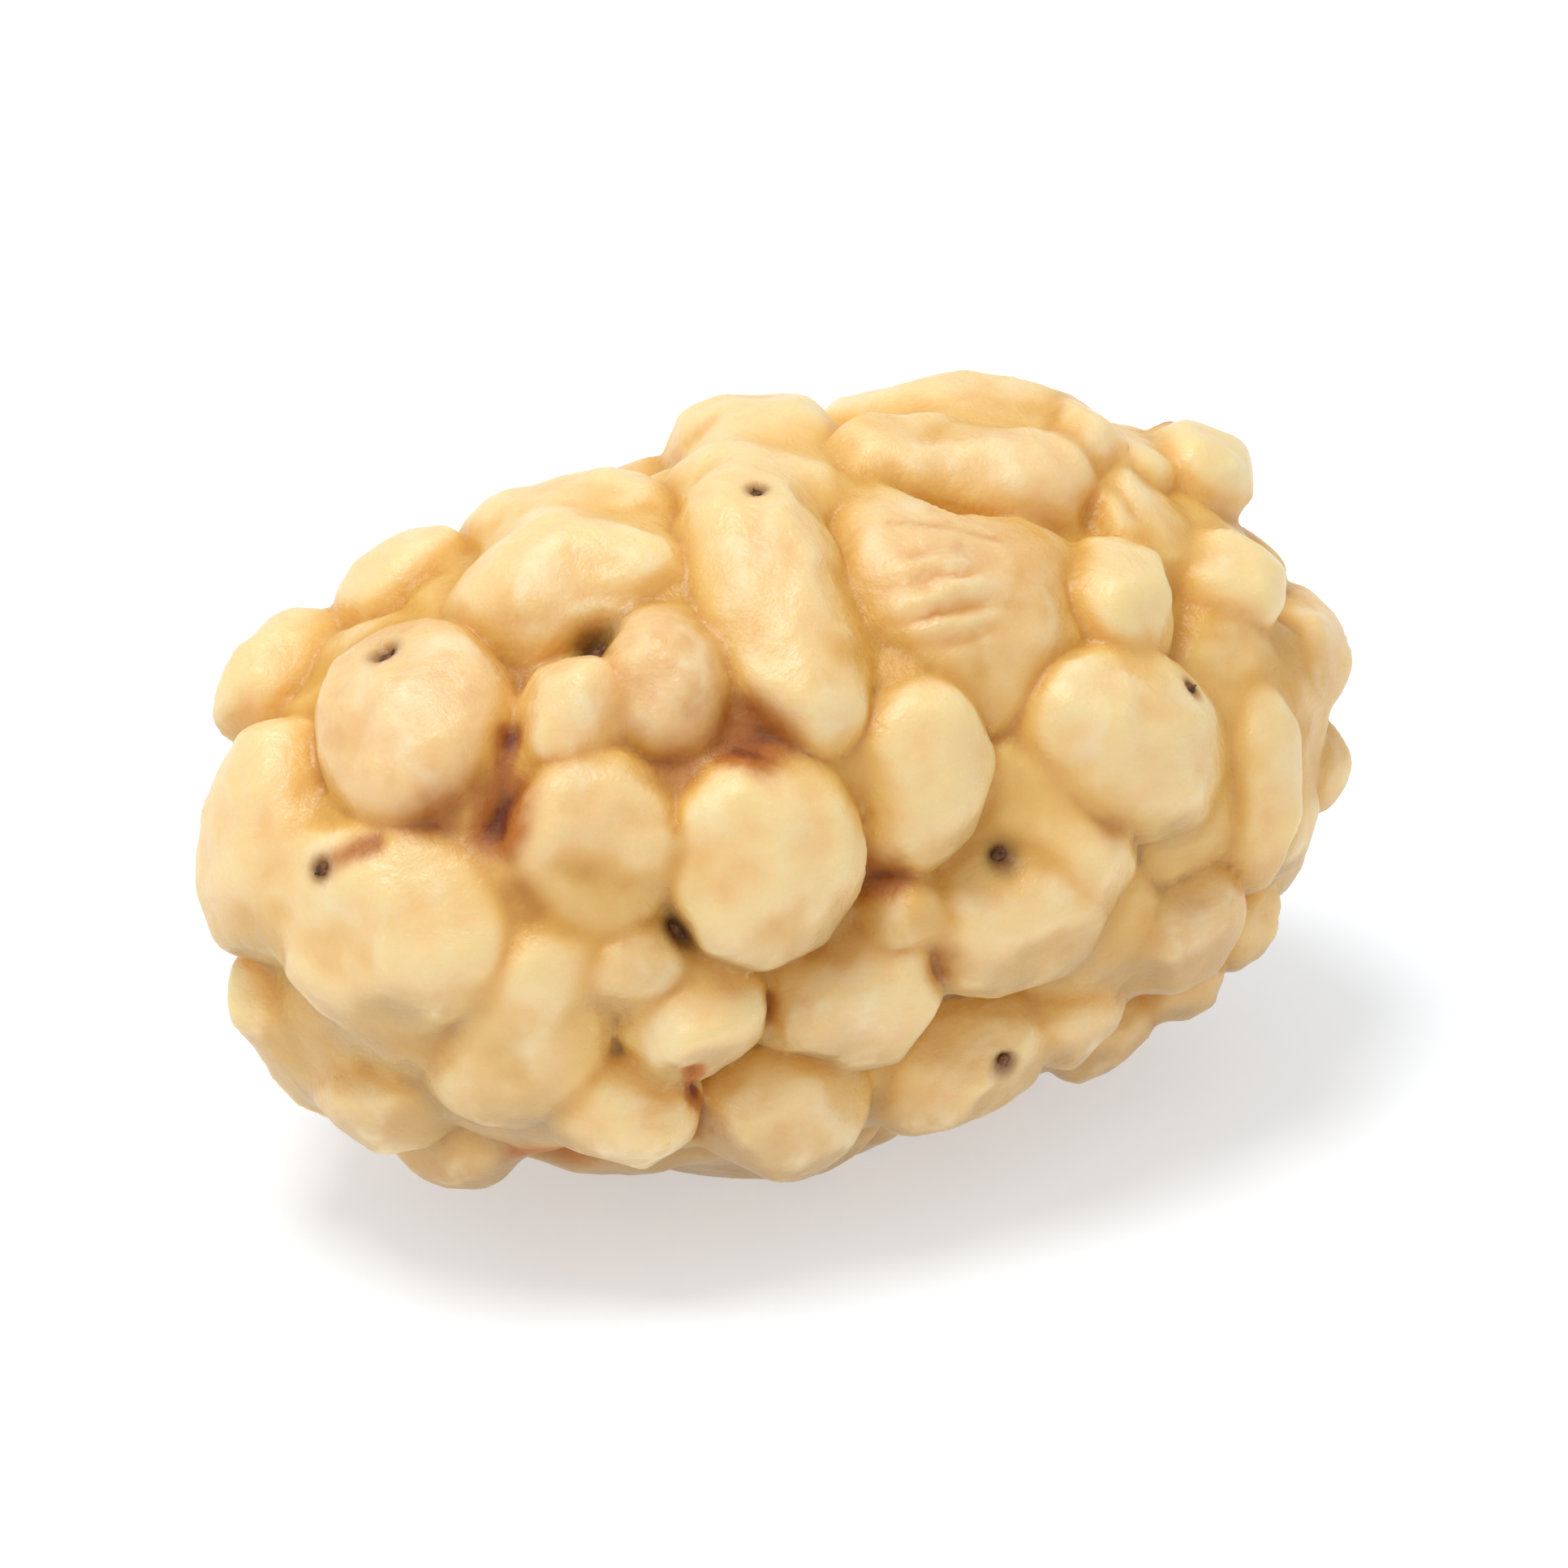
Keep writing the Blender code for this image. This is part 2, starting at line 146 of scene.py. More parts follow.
# %% The seen lobes
SEEN_LOBES = {
    "tip_upper": (663, 1186, 2.00, 1.40, 0.20, 59, 0.25, 0.0, 0.20),
    "tip_crest": (705, 1163, 1.95, 1.70, 0.12, 0, 0.00, 0.0, 0.00),
    "tip_cheek": (706, 1203, 2.45, 2.00, 0.22, 90, 0.35, 0.4, 0.40),
    "crest": (758, 1142, 2.75, 1.95, 0.06, 10, 0.10, 0.0, 0.20),
    "crest_front": (764, 1157, 2.30, 1.55, 0.09, 5, 0.10, 0.0, 0.20),
    "crest_side": (742, 1171, 1.50, 1.25, -0.03, 0, 0.50, 0.1, 0.30),
    "pink": (793, 1192, 1.75, 1.50, 0.05, 90, 0.50, 0.6, 0.40),
    "bead": (759, 1202, 1.35, 1.15, 0.15, 60, 0.15, 0.3, 0.00),
    "ridge_near": (820, 1112, 2.45, 1.60, 0.10, 0, 0.10, 0.0, 0.15),
    "ridge_near_front": (824, 1130, 2.15, 1.60, 0.08, 0, 0.15, 0.0, 0.20),
    "tongue": (829, 1166, 3.40, 1.75, 0.21, -68, 0.35, 0.0, 0.25),
    "beside_tongue": (862, 1155, 2.50, 1.45, -0.25, -72, 0.35, 0.1, 0.50),
    "ridge_middle": (891, 1108, 2.95, 1.80, 0.14, 0, 0.00, 0.1, 0.05),
    "ridge_patch": (866, 1123, 1.90, 1.35, 0.05, 20, 0.15, 0.0, 0.65),
    "collar": (909, 1126, 1.90, 1.40, 0.02, 0, 0.15, 0.3, 0.25),
    "rough": (887, 1161, 1.95, 1.75, -0.03, 0, 0.40, 0.7, 0.10),
    "below_rough": (897, 1187, 2.30, 1.45, -0.30, 0, 0.35, 0.0, 0.65),
    "sunk_fold": (915, 1160, 1.80, 1.25, -0.30, 90, 0.35, 0.0, 1.00),
    "pleat_near": (929, 1114, 2.30, 0.95, 0.16, -65, 0.20, 0.2, 0.40),
    "pleat_far": (953, 1115, 2.50, 0.90, 0.18, -65, 0.15, 0.0, 0.35),
    "ridge_far": (974, 1115, 2.10, 1.20, 0.15, -75, 0.00, 0.0, 0.05),
    "chip_near": (942, 1163, 1.55, 1.42, 0.10, 90, 0.00, 0.0, 0.00),
    "chip_far": (979, 1158, 1.40, 1.25, 0.07, 0, 0.05, 0.0, 0.05),
    "shoulder": (947, 1209, 2.65, 1.95, 0.20, -25, 0.15, 0.0, 0.10),
    "edge_upper": (1008, 1177, 2.10, 1.25, 0.08, 85, 0.45, 0.2, 0.20),
    "edge_lower": (1012, 1215, 1.40, 0.95, 0.00, 70, 0.45, 0.0, 0.25),
    "edge_strip": (986, 1223, 2.30, 1.20, 0.05, 88, 0.30, 0.0, 0.30),
    "facet": (875, 1219, 2.05, 1.65, 0.12, 80, 0.20, 0.0, 0.20),
    "sunk_pocket": (914, 1220, 1.90, 1.50, -0.30, 60, 0.30, 0.0, 0.80),
    "egg": (825, 1247, 2.30, 2.05, 0.27, 85, 0.05, 0.0, 0.10),
    "fallen": (766, 1242, 1.95, 1.90, 0.02, 0, 0.40, 0.1, 0.15),
    "big": (699, 1271, 2.70, 2.25, 0.17, -12, 0.15, 0.0, 0.15),
    "tip": (658, 1242, 2.50, 1.65, 0.36, 80, 0.20, 0.1, 0.15),
    "tip_low": (668, 1308, 2.20, 1.20, 0.12, -58, 0.20, 0.0, 0.10),
    "tip_foot": (701, 1325, 1.55, 1.25, 0.15, 0, 0.55, 0.0, 0.30),
    "belly_near": (742, 1301, 2.60, 1.95, 0.03, 64, 0.15, 0.0, 0.10),
    "tan_near": (778, 1281, 1.30, 1.05, -0.15, 0, 0.60, 0.2, 0.20),
    "belly_middle": (800, 1301, 1.60, 1.40, 0.16, 0, 0.35, 0.0, 0.15),
    "foot_near": (777, 1331, 1.60, 1.50, 0.40, 0, 0.30, 0.0, 0.15),
    "foot_middle": (829, 1331, 1.90, 1.85, 0.36, 0, 0.50, 0.0, 0.20),
    "foot_tip": (721, 1341, 2.00, 1.35, 0.18, 0, 0.70, 0.0, 0.40),
    "tan_middle": (837, 1292, 1.30, 1.20, -0.12, 0, 0.70, 0.1, 0.20),
    "between": (869, 1265, 1.15, 0.95, -0.08, 60, 0.90, 0.0, 0.60),
    "wedge": (863, 1291, 1.75, 1.40, 0.12, 57, 0.25, 0.0, 0.10),
    "flank": (905, 1267, 2.35, 1.70, 0.08, 10, 0.30, 0.0, 0.20),
    "flank_top": (930, 1247, 1.45, 1.25, -0.03, 60, 0.20, 0.0, 0.25),
    "foot_far": (888, 1316, 2.00, 1.55, 0.34, 20, 0.50, 0.0, 0.20),
    "low_near": (922, 1298, 1.55, 1.20, 0.06, 0, 0.45, 0.0, 0.15),
    "tan_far": (962, 1266, 1.85, 1.65, 0.02, 90, 0.70, 0.3, 0.30),
    "low_middle": (939, 1308, 1.30, 1.15, 0.05, 0, 0.85, 0.0, 0.15),
    "low_far": (967, 1290, 1.20, 1.05, 0.05, 0, 0.90, 0.1, 0.30),
    "edge_foot": (989, 1271, 1.20, 0.90, 0.00, 60, 0.60, 0.1, 0.40),
}
MELTED = (
    ("crest", "crest_front", "crest_side"), ("ridge_near", "ridge_near_front", "tongue"),
    ("ridge_middle", "ridge_patch", "collar"), ("rough", "below_rough", "sunk_fold", "beside_tongue"),
    ("sunk_pocket", "flank_top"), ("tan_far", "low_near"), ("edge_strip", "edge_upper"),
    ("tan_middle", "wedge"), ("pleat_near", "pleat_far"), ("big", "tip"), ("tip_low", "tip_foot"),
)
LEAST_FACING = 0.15
PAST_EDGE = 1.01
GROWTH = 1.29


def lobe(middle, length, width, rise, long_way, looks):
    """A lobe's frame: its middle, its axes, its half sizes and its looks."""
    out = outward(middle, LOBE_DEPTH)
    along = (long_way - out * long_way.dot(out)).normalized()
    return {"middle": middle, "axes": (along, out.cross(along), out), "looks": looks,
            "halves": (GROWTH * length / 2, GROWTH * width / 2, rise)}


def seen_lobes():
    lobes = []
    for name, (pixel_x, pixel_y, length, width, proud, slope, *looks) in SEEN_LOBES.items():
        depth = LOBE_DEPTH - proud
        middle = seen_point(pixel_x, pixel_y, depth)
        at_edge = fullness(middle, depth) > PAST_EDGE
        angle = math.radians(slope)
        sloping = RIGHT * math.cos(angle) + UP * math.sin(angle)
        out = outward(middle, depth)
        facing = max(out.dot(TOWARDS), LEAST_FACING)
        long_way = sloping - TOWARDS * (sloping.dot(out) / facing)
        rise = GROWTH * width / 2 if at_edge else LOBE_DEPTH
        lobes.append(lobe(middle, length, width, rise, long_way, looks))
        lobes[-1]["group"] = next((group[0] for group in MELTED if name in group), name)
    return lobes


print(len(SEEN_LOBES), "lobes are read from the photograph, in", len(MELTED), "melted groups and alone")

# %% [markdown]
# ## The lobes on the hidden sides
# The photograph hides more than half of the berry. There the drupelets follow each other in a
# spiral round the barrel, as they grow, each a ring of three or four lobes. Wherever a gap is left,
# one more lobe fills it. The draws are seeded and in the same order as in the solid, so that both
# have the same lobes. Their looks come from a second row of draws, which also melts the first two
# lobes of some drupelets together.

# %% The hidden lobes
DRUPELET_PITCH = 3.0
DRUPELET_CLEAR = 2.1
LOBES_EACH = (3, 4, 4)
LOBE_RING = 0.92
RING_SPREAD = (0.9, 1.1)
RING_CLEAR = 0.8
RING_PROUD = (-0.1, 0.12)
LOBE_LONG = (1.75, 2.25)
LOBE_WIDE = (1.35, 1.75)
HIDDEN_FROM = -0.20
FILL_PITCH = 1.20
FILL_PROUD = (-0.12, 0.05)
FACING_FROM = -0.30
SUNK_PROUD = (-0.38, -0.28)
SPIRAL_POINTS = 2600
MELTED_SHARE = 0.6
MELTED_IN_RING = 2
SUNK_LOOKS = (0.4, 0.0, 0.6)
SEED = 61
LOOKS_SEED = SEED + 7
STUB_CLEAR = 1.45
STUB_PLACE = Vector((LENGTH / 2 - LOBE_DEPTH, 0, 0))


def spiral():
    """Points evenly round and along the barrel, from the stalk end to the tip."""
    golden_turn = math.pi * (3 - math.sqrt(5))
    for i in range(SPIRAL_POINTS):
        along = 1 - 2 * (i + 0.5) / SPIRAL_POINTS
        ring = math.sqrt(1 - along * along)
        turn = i * golden_turn
        way = Vector((along * LENGTH, ring * math.cos(turn) * WIDTH, ring * math.sin(turn) * HEIGHT))
        yield on_barrel(way, LOBE_DEPTH)


def clear_of(point, others, gap):
    return all((point - other).length >= gap for other in others)


def drawn_looks(rng):
    return rng.uniform(0.1, 0.6), max(0.0, rng.uniform(-0.6, 0.6)), rng.uniform(0.1, 0.35)


def hidden_drupelets(taken, rng, looks_rng):
    """Drupelets in spiral order wherever there is room, each a ring of lobes."""
    middles, lobes = [], []
    for point in spiral():
        if outward(point, LOBE_DEPTH).dot(TOWARDS) > HIDDEN_FROM:
            continue
        if not clear_of(point, taken, DRUPELET_CLEAR) or not clear_of(point, middles, DRUPELET_PITCH):
            continue
        if (point - STUB_PLACE).length < STUB_CLEAR + LOBE_RING:
            continue
        middles.append(point)
        out = outward(point, LOBE_DEPTH)
        sideways = out.orthogonal().normalized()
        count = rng.choice(LOBES_EACH)
        first_turn = rng.uniform(0, math.tau)
        melted = looks_rng.random() < MELTED_SHARE
        for i in range(count):
            turn = Matrix.Rotation(first_turn + math.tau * i / count, 3, out)
            way = turn @ sideways
            middle = on_barrel(point + way * LOBE_RING * rng.uniform(*RING_SPREAD), LOBE_DEPTH)
            if clear_of(middle, taken, FILL_PITCH * RING_CLEAR):
                length, width = rng.uniform(*LOBE_LONG), rng.uniform(*LOBE_WIDE)
                rise = LOBE_DEPTH + rng.uniform(*RING_PROUD)
                lobes.append(lobe(middle, length, width, rise, way.cross(out), drawn_looks(looks_rng)))
                if melted and i < MELTED_IN_RING:
                    lobes[-1]["group"] = len(middles)
    return middles, lobes


def filling_lobes(taken, rng, looks_rng):
    """More lobes, in spiral order, where a gap would show the core."""
    taken, lobes = list(taken), []
    for point in spiral():
        if clear_of(point, taken, FILL_PITCH) and (point - STUB_PLACE).length >= STUB_CLEAR:
            taken.append(point)
            way = Vector((rng.uniform(-1, 1), rng.uniform(-1, 1), rng.uniform(-1, 1)))
            facing = outward(point, LOBE_DEPTH).dot(TOWARDS) > FACING_FROM
            proud = rng.uniform(*(SUNK_PROUD if facing else FILL_PROUD))
            length, width = rng.uniform(*LOBE_LONG), rng.uniform(*LOBE_WIDE)
            looks = SUNK_LOOKS if facing else drawn_looks(looks_rng)
            lobes.append(lobe(point, length, width, LOBE_DEPTH + proud, way, looks))
    return lobes


# %% Put all the lobes together
def all_lobes():
    rng, looks_rng = random.Random(SEED), random.Random(LOOKS_SEED)
    lobes = seen_lobes()
    taken = [shape["middle"] for shape in lobes]
    drupelets, hidden = hidden_drupelets(taken, rng, looks_rng)
    lobes += hidden
    taken += [shape["middle"] for shape in hidden]
    lobes += filling_lobes(taken, rng, looks_rng)
    return lobes, drupelets


def grouped(lobes):
    """The lobes in groups, where a group has melted together. Most lobes are alone."""
    groups = {}
    for i, shape in enumerate(lobes):
        groups.setdefault(shape.get("group", "lobe %d" % i), []).append(shape)
    return list(groups.values())


LOBES, HIDDEN_DRUPELETS = all_lobes()
GROUPS = grouped(LOBES)
print(len(LOBES), "lobes in", len(GROUPS), "groups,", len(HIDDEN_DRUPELETS), "drupelets on the hidden sides")

# %% [markdown]
# ## The form of one lobe
# A dried lobe is a soft pillow, round seen from above, that drying has pressed into a few soft
# facets. One formula gives it: a reach in every direction, clipped by planes with blended edges.
# A formula is better here than a modelled blob, because it can say how far any point is from it.

# %% Lobe form
PILLOW = 2.15
FACETS_EACH = 7
FACET_REACH = (0.80, 0.95)
FACET_LEAN = (0.05, 1.0)
FACET_EDGE = 28
FACET_SEED = SEED + 1


def lobe_facets(rng):
    facets = []
    for _ in range(FACETS_EACH):
        turn = rng.uniform(0, math.tau)
        lean = rng.uniform(*FACET_LEAN)
        facing = Vector((math.cos(turn) * math.sin(lean), math.sin(turn) * math.sin(lean), math.cos(lean)))
        facets.append((facing, rng.uniform(*FACET_REACH)))
    return facets


facet_rng = random.Random(FACET_SEED)
for shape in LOBES:
    shape["facets"] = [(np.array(facing), reach) for facing, reach in lobe_facets(facet_rng)]
    shape["place"] = np.array(shape["middle"])
    shape["frame"] = np.array([list(axis) for axis in shape["axes"]])
    shape["half"] = np.array(shape["halves"])
print(len(LOBES) * FACETS_EACH, "facets drawn")


def lobe_reach(ways, facets):
    """How far a lobe of half size 1 reaches along unit ways."""
    pillow = (np.hypot(ways[:, 0], ways[:, 1]) ** PILLOW + np.abs(ways[:, 2]) ** PILLOW) ** (1 / PILLOW)
    clipped = pillow ** FACET_EDGE
    for facing, reach in facets:
        clipped += np.maximum(ways @ facing / reach, 0) ** FACET_EDGE
    return clipped ** (-1 / FACET_EDGE)


# %% [markdown]
# ## One skin over all the lobes
# Fine balls pushed into the lobes' forms overlap, and a voxel remesh draws one closed skin over
# them and the core. A boolean union would do it too, but would leave thin slivers along the seams,
# while the remesh gives even small faces that can be moved freely.

# %% The fused skin
VOXEL = 0.09
BALL_CUTS = 4


def ball(cuts):
    """The points and faces of a fine ball."""
    bm = bmesh.new()
    bmesh.ops.create_icosphere(bm, subdivisions=cuts, radius=1)
    points = np.array([vert.co for vert in bm.verts])
    faces = np.array([[vert.index for vert in face.verts] for face in bm.faces])
    bm.free()
    return points, faces


def fused_skin(lobes):
    ways, faces = ball(BALL_CUTS)
    ways /= np.linalg.norm(ways, axis=1)[:, None]
    points = []
    for shape in lobes:
        reach = lobe_reach(ways, shape["facets"])[:, None]
        points.append(shape["place"] + (ways * reach * shape["half"]) @ shape["frame"])
    core = [on_barrel(Vector(way * (LENGTH, WIDTH, HEIGHT)), CORE_DEPTH) for way in ways]
    points.append(np.array([list(point) for point in core]))
    mesh = bpy.data.meshes.new("overlapping_lobes")
    joined = np.concatenate([faces + i * len(ways) for i in range(len(points))])
    mesh.from_pydata(np.concatenate(points).tolist(), [], joined.tolist())
    thing = bpy.data.objects.new("overlapping_lobes", mesh)
    bpy.context.scene.collection.objects.link(thing)
    remesh = thing.modifiers.new("skin", "REMESH")
    remesh.mode = "VOXEL"
    remesh.voxel_size = VOXEL
    skin = bpy.data.meshes.new_from_object(thing.evaluated_get(bpy.context.evaluated_depsgraph_get()))
    bpy.data.objects.remove(thing, do_unlink=True)
    bpy.data.meshes.remove(mesh)
    return skin


def vertex_places(mesh):
    places = np.empty(len(mesh.vertices) * 3)
    mesh.vertices.foreach_get("co", places)
    return places.reshape(-1, 3)


def neighbour_means(mesh):
    """A function that gives each point's value as the mean of its neighbours' values."""
    pairs = np.empty(len(mesh.edges) * 2, dtype=int)
    mesh.edges.foreach_get("vertices", pairs)
    pairs = pairs.reshape(-1, 2)
    start, end = np.concatenate([pairs, pairs[:, ::-1]]).T
    count = np.bincount(start, minlength=len(mesh.vertices))

    def means(values):
        values = values.reshape(len(values), -1)
        sums = [np.bincount(start, weights=column[end], minlength=len(values)) for column in values.T]
        return (np.array(sums) / count).T.squeeze()
    return means


skin = fused_skin(LOBES)
places = vertex_places(skin)
means = neighbour_means(skin)
print("skin of", len(skin.vertices), "points and", len(skin.polygons), "faces")

# %% [markdown]
# ## How far every point is from every lobe
# The remeshed skin is only near the lobes, as coarse as its voxels. The gap to the nearest lobe
# moves a point onto it, and the gap to the second nearest tells how close the point is to a seam.
# Each gap comes with the way straight out, which is the slope of the form's own formula. Here they
# are worked out for one lobe, for the core, and for a group whose lobes blend widely into one.

# %% Gaps to one lobe, to the core and to a group
MELT_BLEND = 0.28
LEAST, NEARLY_NOTHING = 1e-9, 1e-30


def lobe_gap(shape, places):
    """How far places lie outside one lobe, and the way that leads straight out of it."""
    scaled = shape["frame"] / shape["half"][:, None]
    inside = (places - shape["place"]) @ scaled.T
    flat = np.hypot(inside[:, 0], inside[:, 1]) + LEAST
    tall = np.abs(inside[:, 2]) + LEAST
    pillow = (flat ** PILLOW + tall ** PILLOW) ** (1 / PILLOW)
    total = pillow ** FACET_EDGE
    slope = (pillow ** (FACET_EDGE - PILLOW))[:, None] * np.stack(
        [flat ** (PILLOW - 2) * inside[:, 0], flat ** (PILLOW - 2) * inside[:, 1],
         np.sign(inside[:, 2]) * tall ** (PILLOW - 1)], 1)
    for facing, reach in shape["facets"]:
        over = np.maximum(inside @ (facing / reach), 0)
        total += over ** FACET_EDGE
        slope += (over ** (FACET_EDGE - 1))[:, None] * facing / reach
    size = total ** (1 / FACET_EDGE)
    slope = (slope * (size ** (1 - FACET_EDGE))[:, None]) @ scaled
    steep = np.linalg.norm(slope, axis=1) + LEAST
    return (size - 1) / steep, slope / steep[:, None]


def core_gap(places):
    """How far places lie outside the core, and the way straight out of it."""
    along = np.abs(places[:, 0]) / (LENGTH / 2 - CORE_DEPTH)
    half = np.array([WIDTH / 2 - CORE_DEPTH, HEIGHT / 2 - CORE_DEPTH])
    across = np.linalg.norm(places[:, 1:] / half, axis=1) + LEAST
    full = (along ** BLUNTNESS + across ** BLUNTNESS) ** (1 / BLUNTNESS)
    slope = np.column_stack([np.sign(places[:, 0]) * along ** (BLUNTNESS - 1) / (LENGTH / 2 - CORE_DEPTH),
                             (across ** (BLUNTNESS - 2))[:, None] * places[:, 1:] / half ** 2])
    slope *= (full ** (1 - BLUNTNESS))[:, None]
    steep = np.linalg.norm(slope, axis=1)
    return (full - 1) / steep, slope / steep[:, None]


def group_gap(group, places):
    """The gap and way out of lobes that have melted together, and their looks."""
    total = np.full(len(places), NEARLY_NOTHING)
    ways, looks = np.zeros((len(places), 3)), np.zeros((len(places), 3))
    for shape in group:
        gap, way = lobe_gap(shape, places)
        weight = np.exp(-np.clip(gap, -1, 3) / MELT_BLEND)
        total += weight
        ways += weight[:, None] * way
        looks += weight[:, None] * np.array(shape["looks"])
    ways /= np.linalg.norm(ways, axis=1)[:, None] + NEARLY_NOTHING
    return -MELT_BLEND * np.log(total), ways, looks / total[:, None]


core_distance = core_gap(places)[0]
print("the skin lies", round(float(core_distance.min()), 2), "to", round(float(core_distance.max()), 2),
      "mm over the core")

# %% [markdown]
# ## Lay the skin on the lobes
# Taking the nearest surface alone would leave sharp grooves that no fruit has. Blending the nearest
# ones over a few hundredths of a millimetre leaves each seam as a crisp but closed fold. A slow
# wander of the points before measuring keeps the lobes from being perfect ovals: no seam on the
# real berry is a clean arc. Blender takes the seed of its vector noise from the clock, so a seed is
# set here and every run gives the same berry.

# %% Move the skin onto the lobes
SEAM_BLEND = 0.06
LOOKS_BLEND = 0.05
WANDER = 0.09
WANDER_PITCH = 1.3
WANDER_PLACE = 3.1
FAR = 9.0
NEAR_GROWTH, NEAR_MARGIN = 1.2, 0.5
ROUNDS = 5
LONGEST_MOVE = 0.15
noise.seed_set(SEED)


def noise_shift(which):
    """Every use of the noise reads its own part of it."""
    return Vector((which, 2.3 * which, -1.7 * which))


def noise_ways(places, pitch, which):
    shift = noise_shift(which)
    return np.array([list(noise.noise_vector(Vector(place) / pitch + shift)) for place in places])


def noise_values(places, pitch, which):
    shift = noise_shift(which)
    return np.array([noise.noise(Vector(place) / pitch + shift) for place in places])


def skin_gap(places, groups):
    """The blended gap to the nearest surfaces, its way out, the two nearest groups of lobes and their
    gaps, and the looks of the lobes nearby."""
    count = len(places)
    places = places + WANDER * noise_ways(places, WANDER_PITCH, WANDER_PLACE)
    gap, way = core_gap(places)
    weight = np.exp(-np.clip(gap, -1, 1) / SEAM_BLEND)
    total, ways = weight.copy(), weight[:, None] * way
    gaps, nearest = np.full((count, 2), FAR), np.full((count, 2), -1)
    looks, looks_weight = np.zeros((count, 3)), np.full(count, LEAST)
    for i, group in enumerate(groups):
        near = np.zeros(count, bool)
        for shape in group:
            reach = shape["half"].max() * NEAR_GROWTH + NEAR_MARGIN
            near |= ((places - shape["place"]) ** 2).sum(1) < reach ** 2
        near = np.where(near)[0]
        gap, way, group_looks = group_gap(group, places[near])
        weight = np.exp(-np.clip(gap, -1, 1) / SEAM_BLEND)
        total[near] += weight
        ways[near] += weight[:, None] * way
        soft = np.exp(-np.clip(gap, -1, 1) / LOOKS_BLEND)
        looks[near] += soft[:, None] * group_looks
        looks_weight[near] += soft
        first = gap < gaps[near, 0]
        second = ~first & (gap < gaps[near, 1])
        gaps[near[first], 1], nearest[near[first], 1] = gaps[near[first], 0], nearest[near[first], 0]
        gaps[near[first], 0], nearest[near[first], 0] = gap[first], i
        gaps[near[second], 1], nearest[near[second], 1] = gap[second], i
    ways /= np.linalg.norm(ways, axis=1)[:, None] + LEAST
    return -SEAM_BLEND * np.log(total), ways, nearest, gaps, looks / looks_weight[:, None]


for _ in range(ROUNDS):
    gap, ways, nearest, gaps, looks = skin_gap(places, GROUPS)
    places -= ways * np.clip(gap, -LONGEST_MOVE, LONGEST_MOVE)[:, None]
print("largest gap left", round(float(np.abs(gap).max()), 4), "mm")

# %% [markdown]
# ## What the photograph shows one by one
# A berry isn't marked evenly. A stigma sits in a dimple of its own, dark pits open where drupelets
# pulled apart, one lobe fell in like a dish, others dried in ripples, and a few short clefts run
# between lobes. On the skin, sap dried to rusty stains, syrup shows as amber glassy places, and pale
# spots are painted highlights; the rusty colour under the cheek and the feet is partly painted shade.
# Noise could scatter such marks, but only a list puts each at its own place. Every line begins with
# the pixel of its middle, and sizes are in millimetres.

# %% The marks that are carved
# pixel and radius
SEEN_STIGMAS = {
    "ridge": (823, 1121, 0.13), "tip": (696, 1178, 0.17), "pink": (769, 1177, 0.23),
    "egg": (797, 1274, 0.20), "facet": (907, 1249, 0.17), "shoulder": (973, 1190, 0.13),
    "foot": (909, 1321, 0.15), "big": (673, 1252, 0.14),
}
# pixel, radius, depth, and how rusty the pit is
# The rusty colour of the pits under the cheek and under the foot is partly painted shade, where shade falls
# in the deep gap and where the feet meet the floor.
SEEN_PITS = {
    "under_tongue": (823, 1208, 0.38, 0.35, 1.0), "under_cheek_shade": (737, 1232, 0.34, 0.35, 1.0),
    "below_pink": (742, 1262, 0.22, 0.20, 0.40), "beside_egg": (864, 1255, 0.28, 0.30, 0.90),
    "below_facet": (887, 1288, 0.26, 0.22, 0.45), "belly": (826, 1302, 0.15, 0.20, 0.60),
    "belly_right": (836, 1308, 0.15, 0.20, 0.60), "under_foot_shade": (762, 1352, 0.35, 0.35, 0.85),
    "olive": (710, 1304, 0.22, 0.15, 0.25), "under_shoulder": (960, 1240, 0.22, 0.15, 0.30),
}
# pixel, radius and depth
SEEN_DISHES = {"fallen": (768, 1250, 0.62, 0.20)}
# pixel, slope of the ripples in degrees, pitch, radius and height
SEEN_RIPPLES = {
    "rough": (886, 1158, 12, 0.42, 0.75, 0.085), "ridge_patch": (866, 1120, -35, 0.55, 0.6, 0.03),
    "crest": (770, 1165, 8, 0.60, 0.55, 0.05), "pleat": (940, 1122, -62, 0.50, 0.9, 0.05),
}
# pixels of both ends, width, depth, and how rusty the cleft is
SEEN_CLEFTS = {
    "big": ((676, 1250), (692, 1243), 0.24, 0.06, 0.45),
    "fallen": ((752, 1249), (778, 1257), 0.30, 0.07, 0.0),
    "feet": ((802, 1322), (801, 1346), 0.16, 0.18, 0.85),
    "ridge": ((868, 1134), (904, 1139), 0.12, 0.05, 0.22),
    "cheek": ((739, 1206), (735, 1234), 0.20, 0.14, 0.80),
}
print(len(SEEN_STIGMAS), "stigmas,", len(SEEN_PITS), "pits,", len(SEEN_CLEFTS), "clefts are seen")

# %% The marks that are only colour
# pixel, radius and how strong
# The stains in the gap under the cheek and under the feet are partly painted shade, where shade falls in the
# deep gap and where the feet meet the floor.
SEEN_STAINS = {
    "under_tongue": (822, 1211, 0.50, 1.05), "gap": (737, 1236, 0.50, 1.10),
    "cheek": (714, 1231, 0.62, 0.58), "pink": (794, 1217, 0.50, 0.60), "tip": (652, 1212, 0.40, 0.15),
    "beside_cheek": (741, 1185, 0.40, 0.35), "below_fallen": (746, 1264, 0.35, 0.40),
    "below_flank": (887, 1284, 0.45, 0.45), "below_shoulder": (945, 1240, 0.45, 0.35),
    "foot": (720, 1360, 0.50, 0.30), "under_feet_shade": (750, 1349, 0.45, 0.90),
    "far_foot": (862, 1346, 0.35, 0.30),
    "ridge": (880, 1136, 0.35, 0.25), "edge": (1003, 1250, 0.40, 0.40), "patch": (869, 1120, 0.28, 0.22),
}
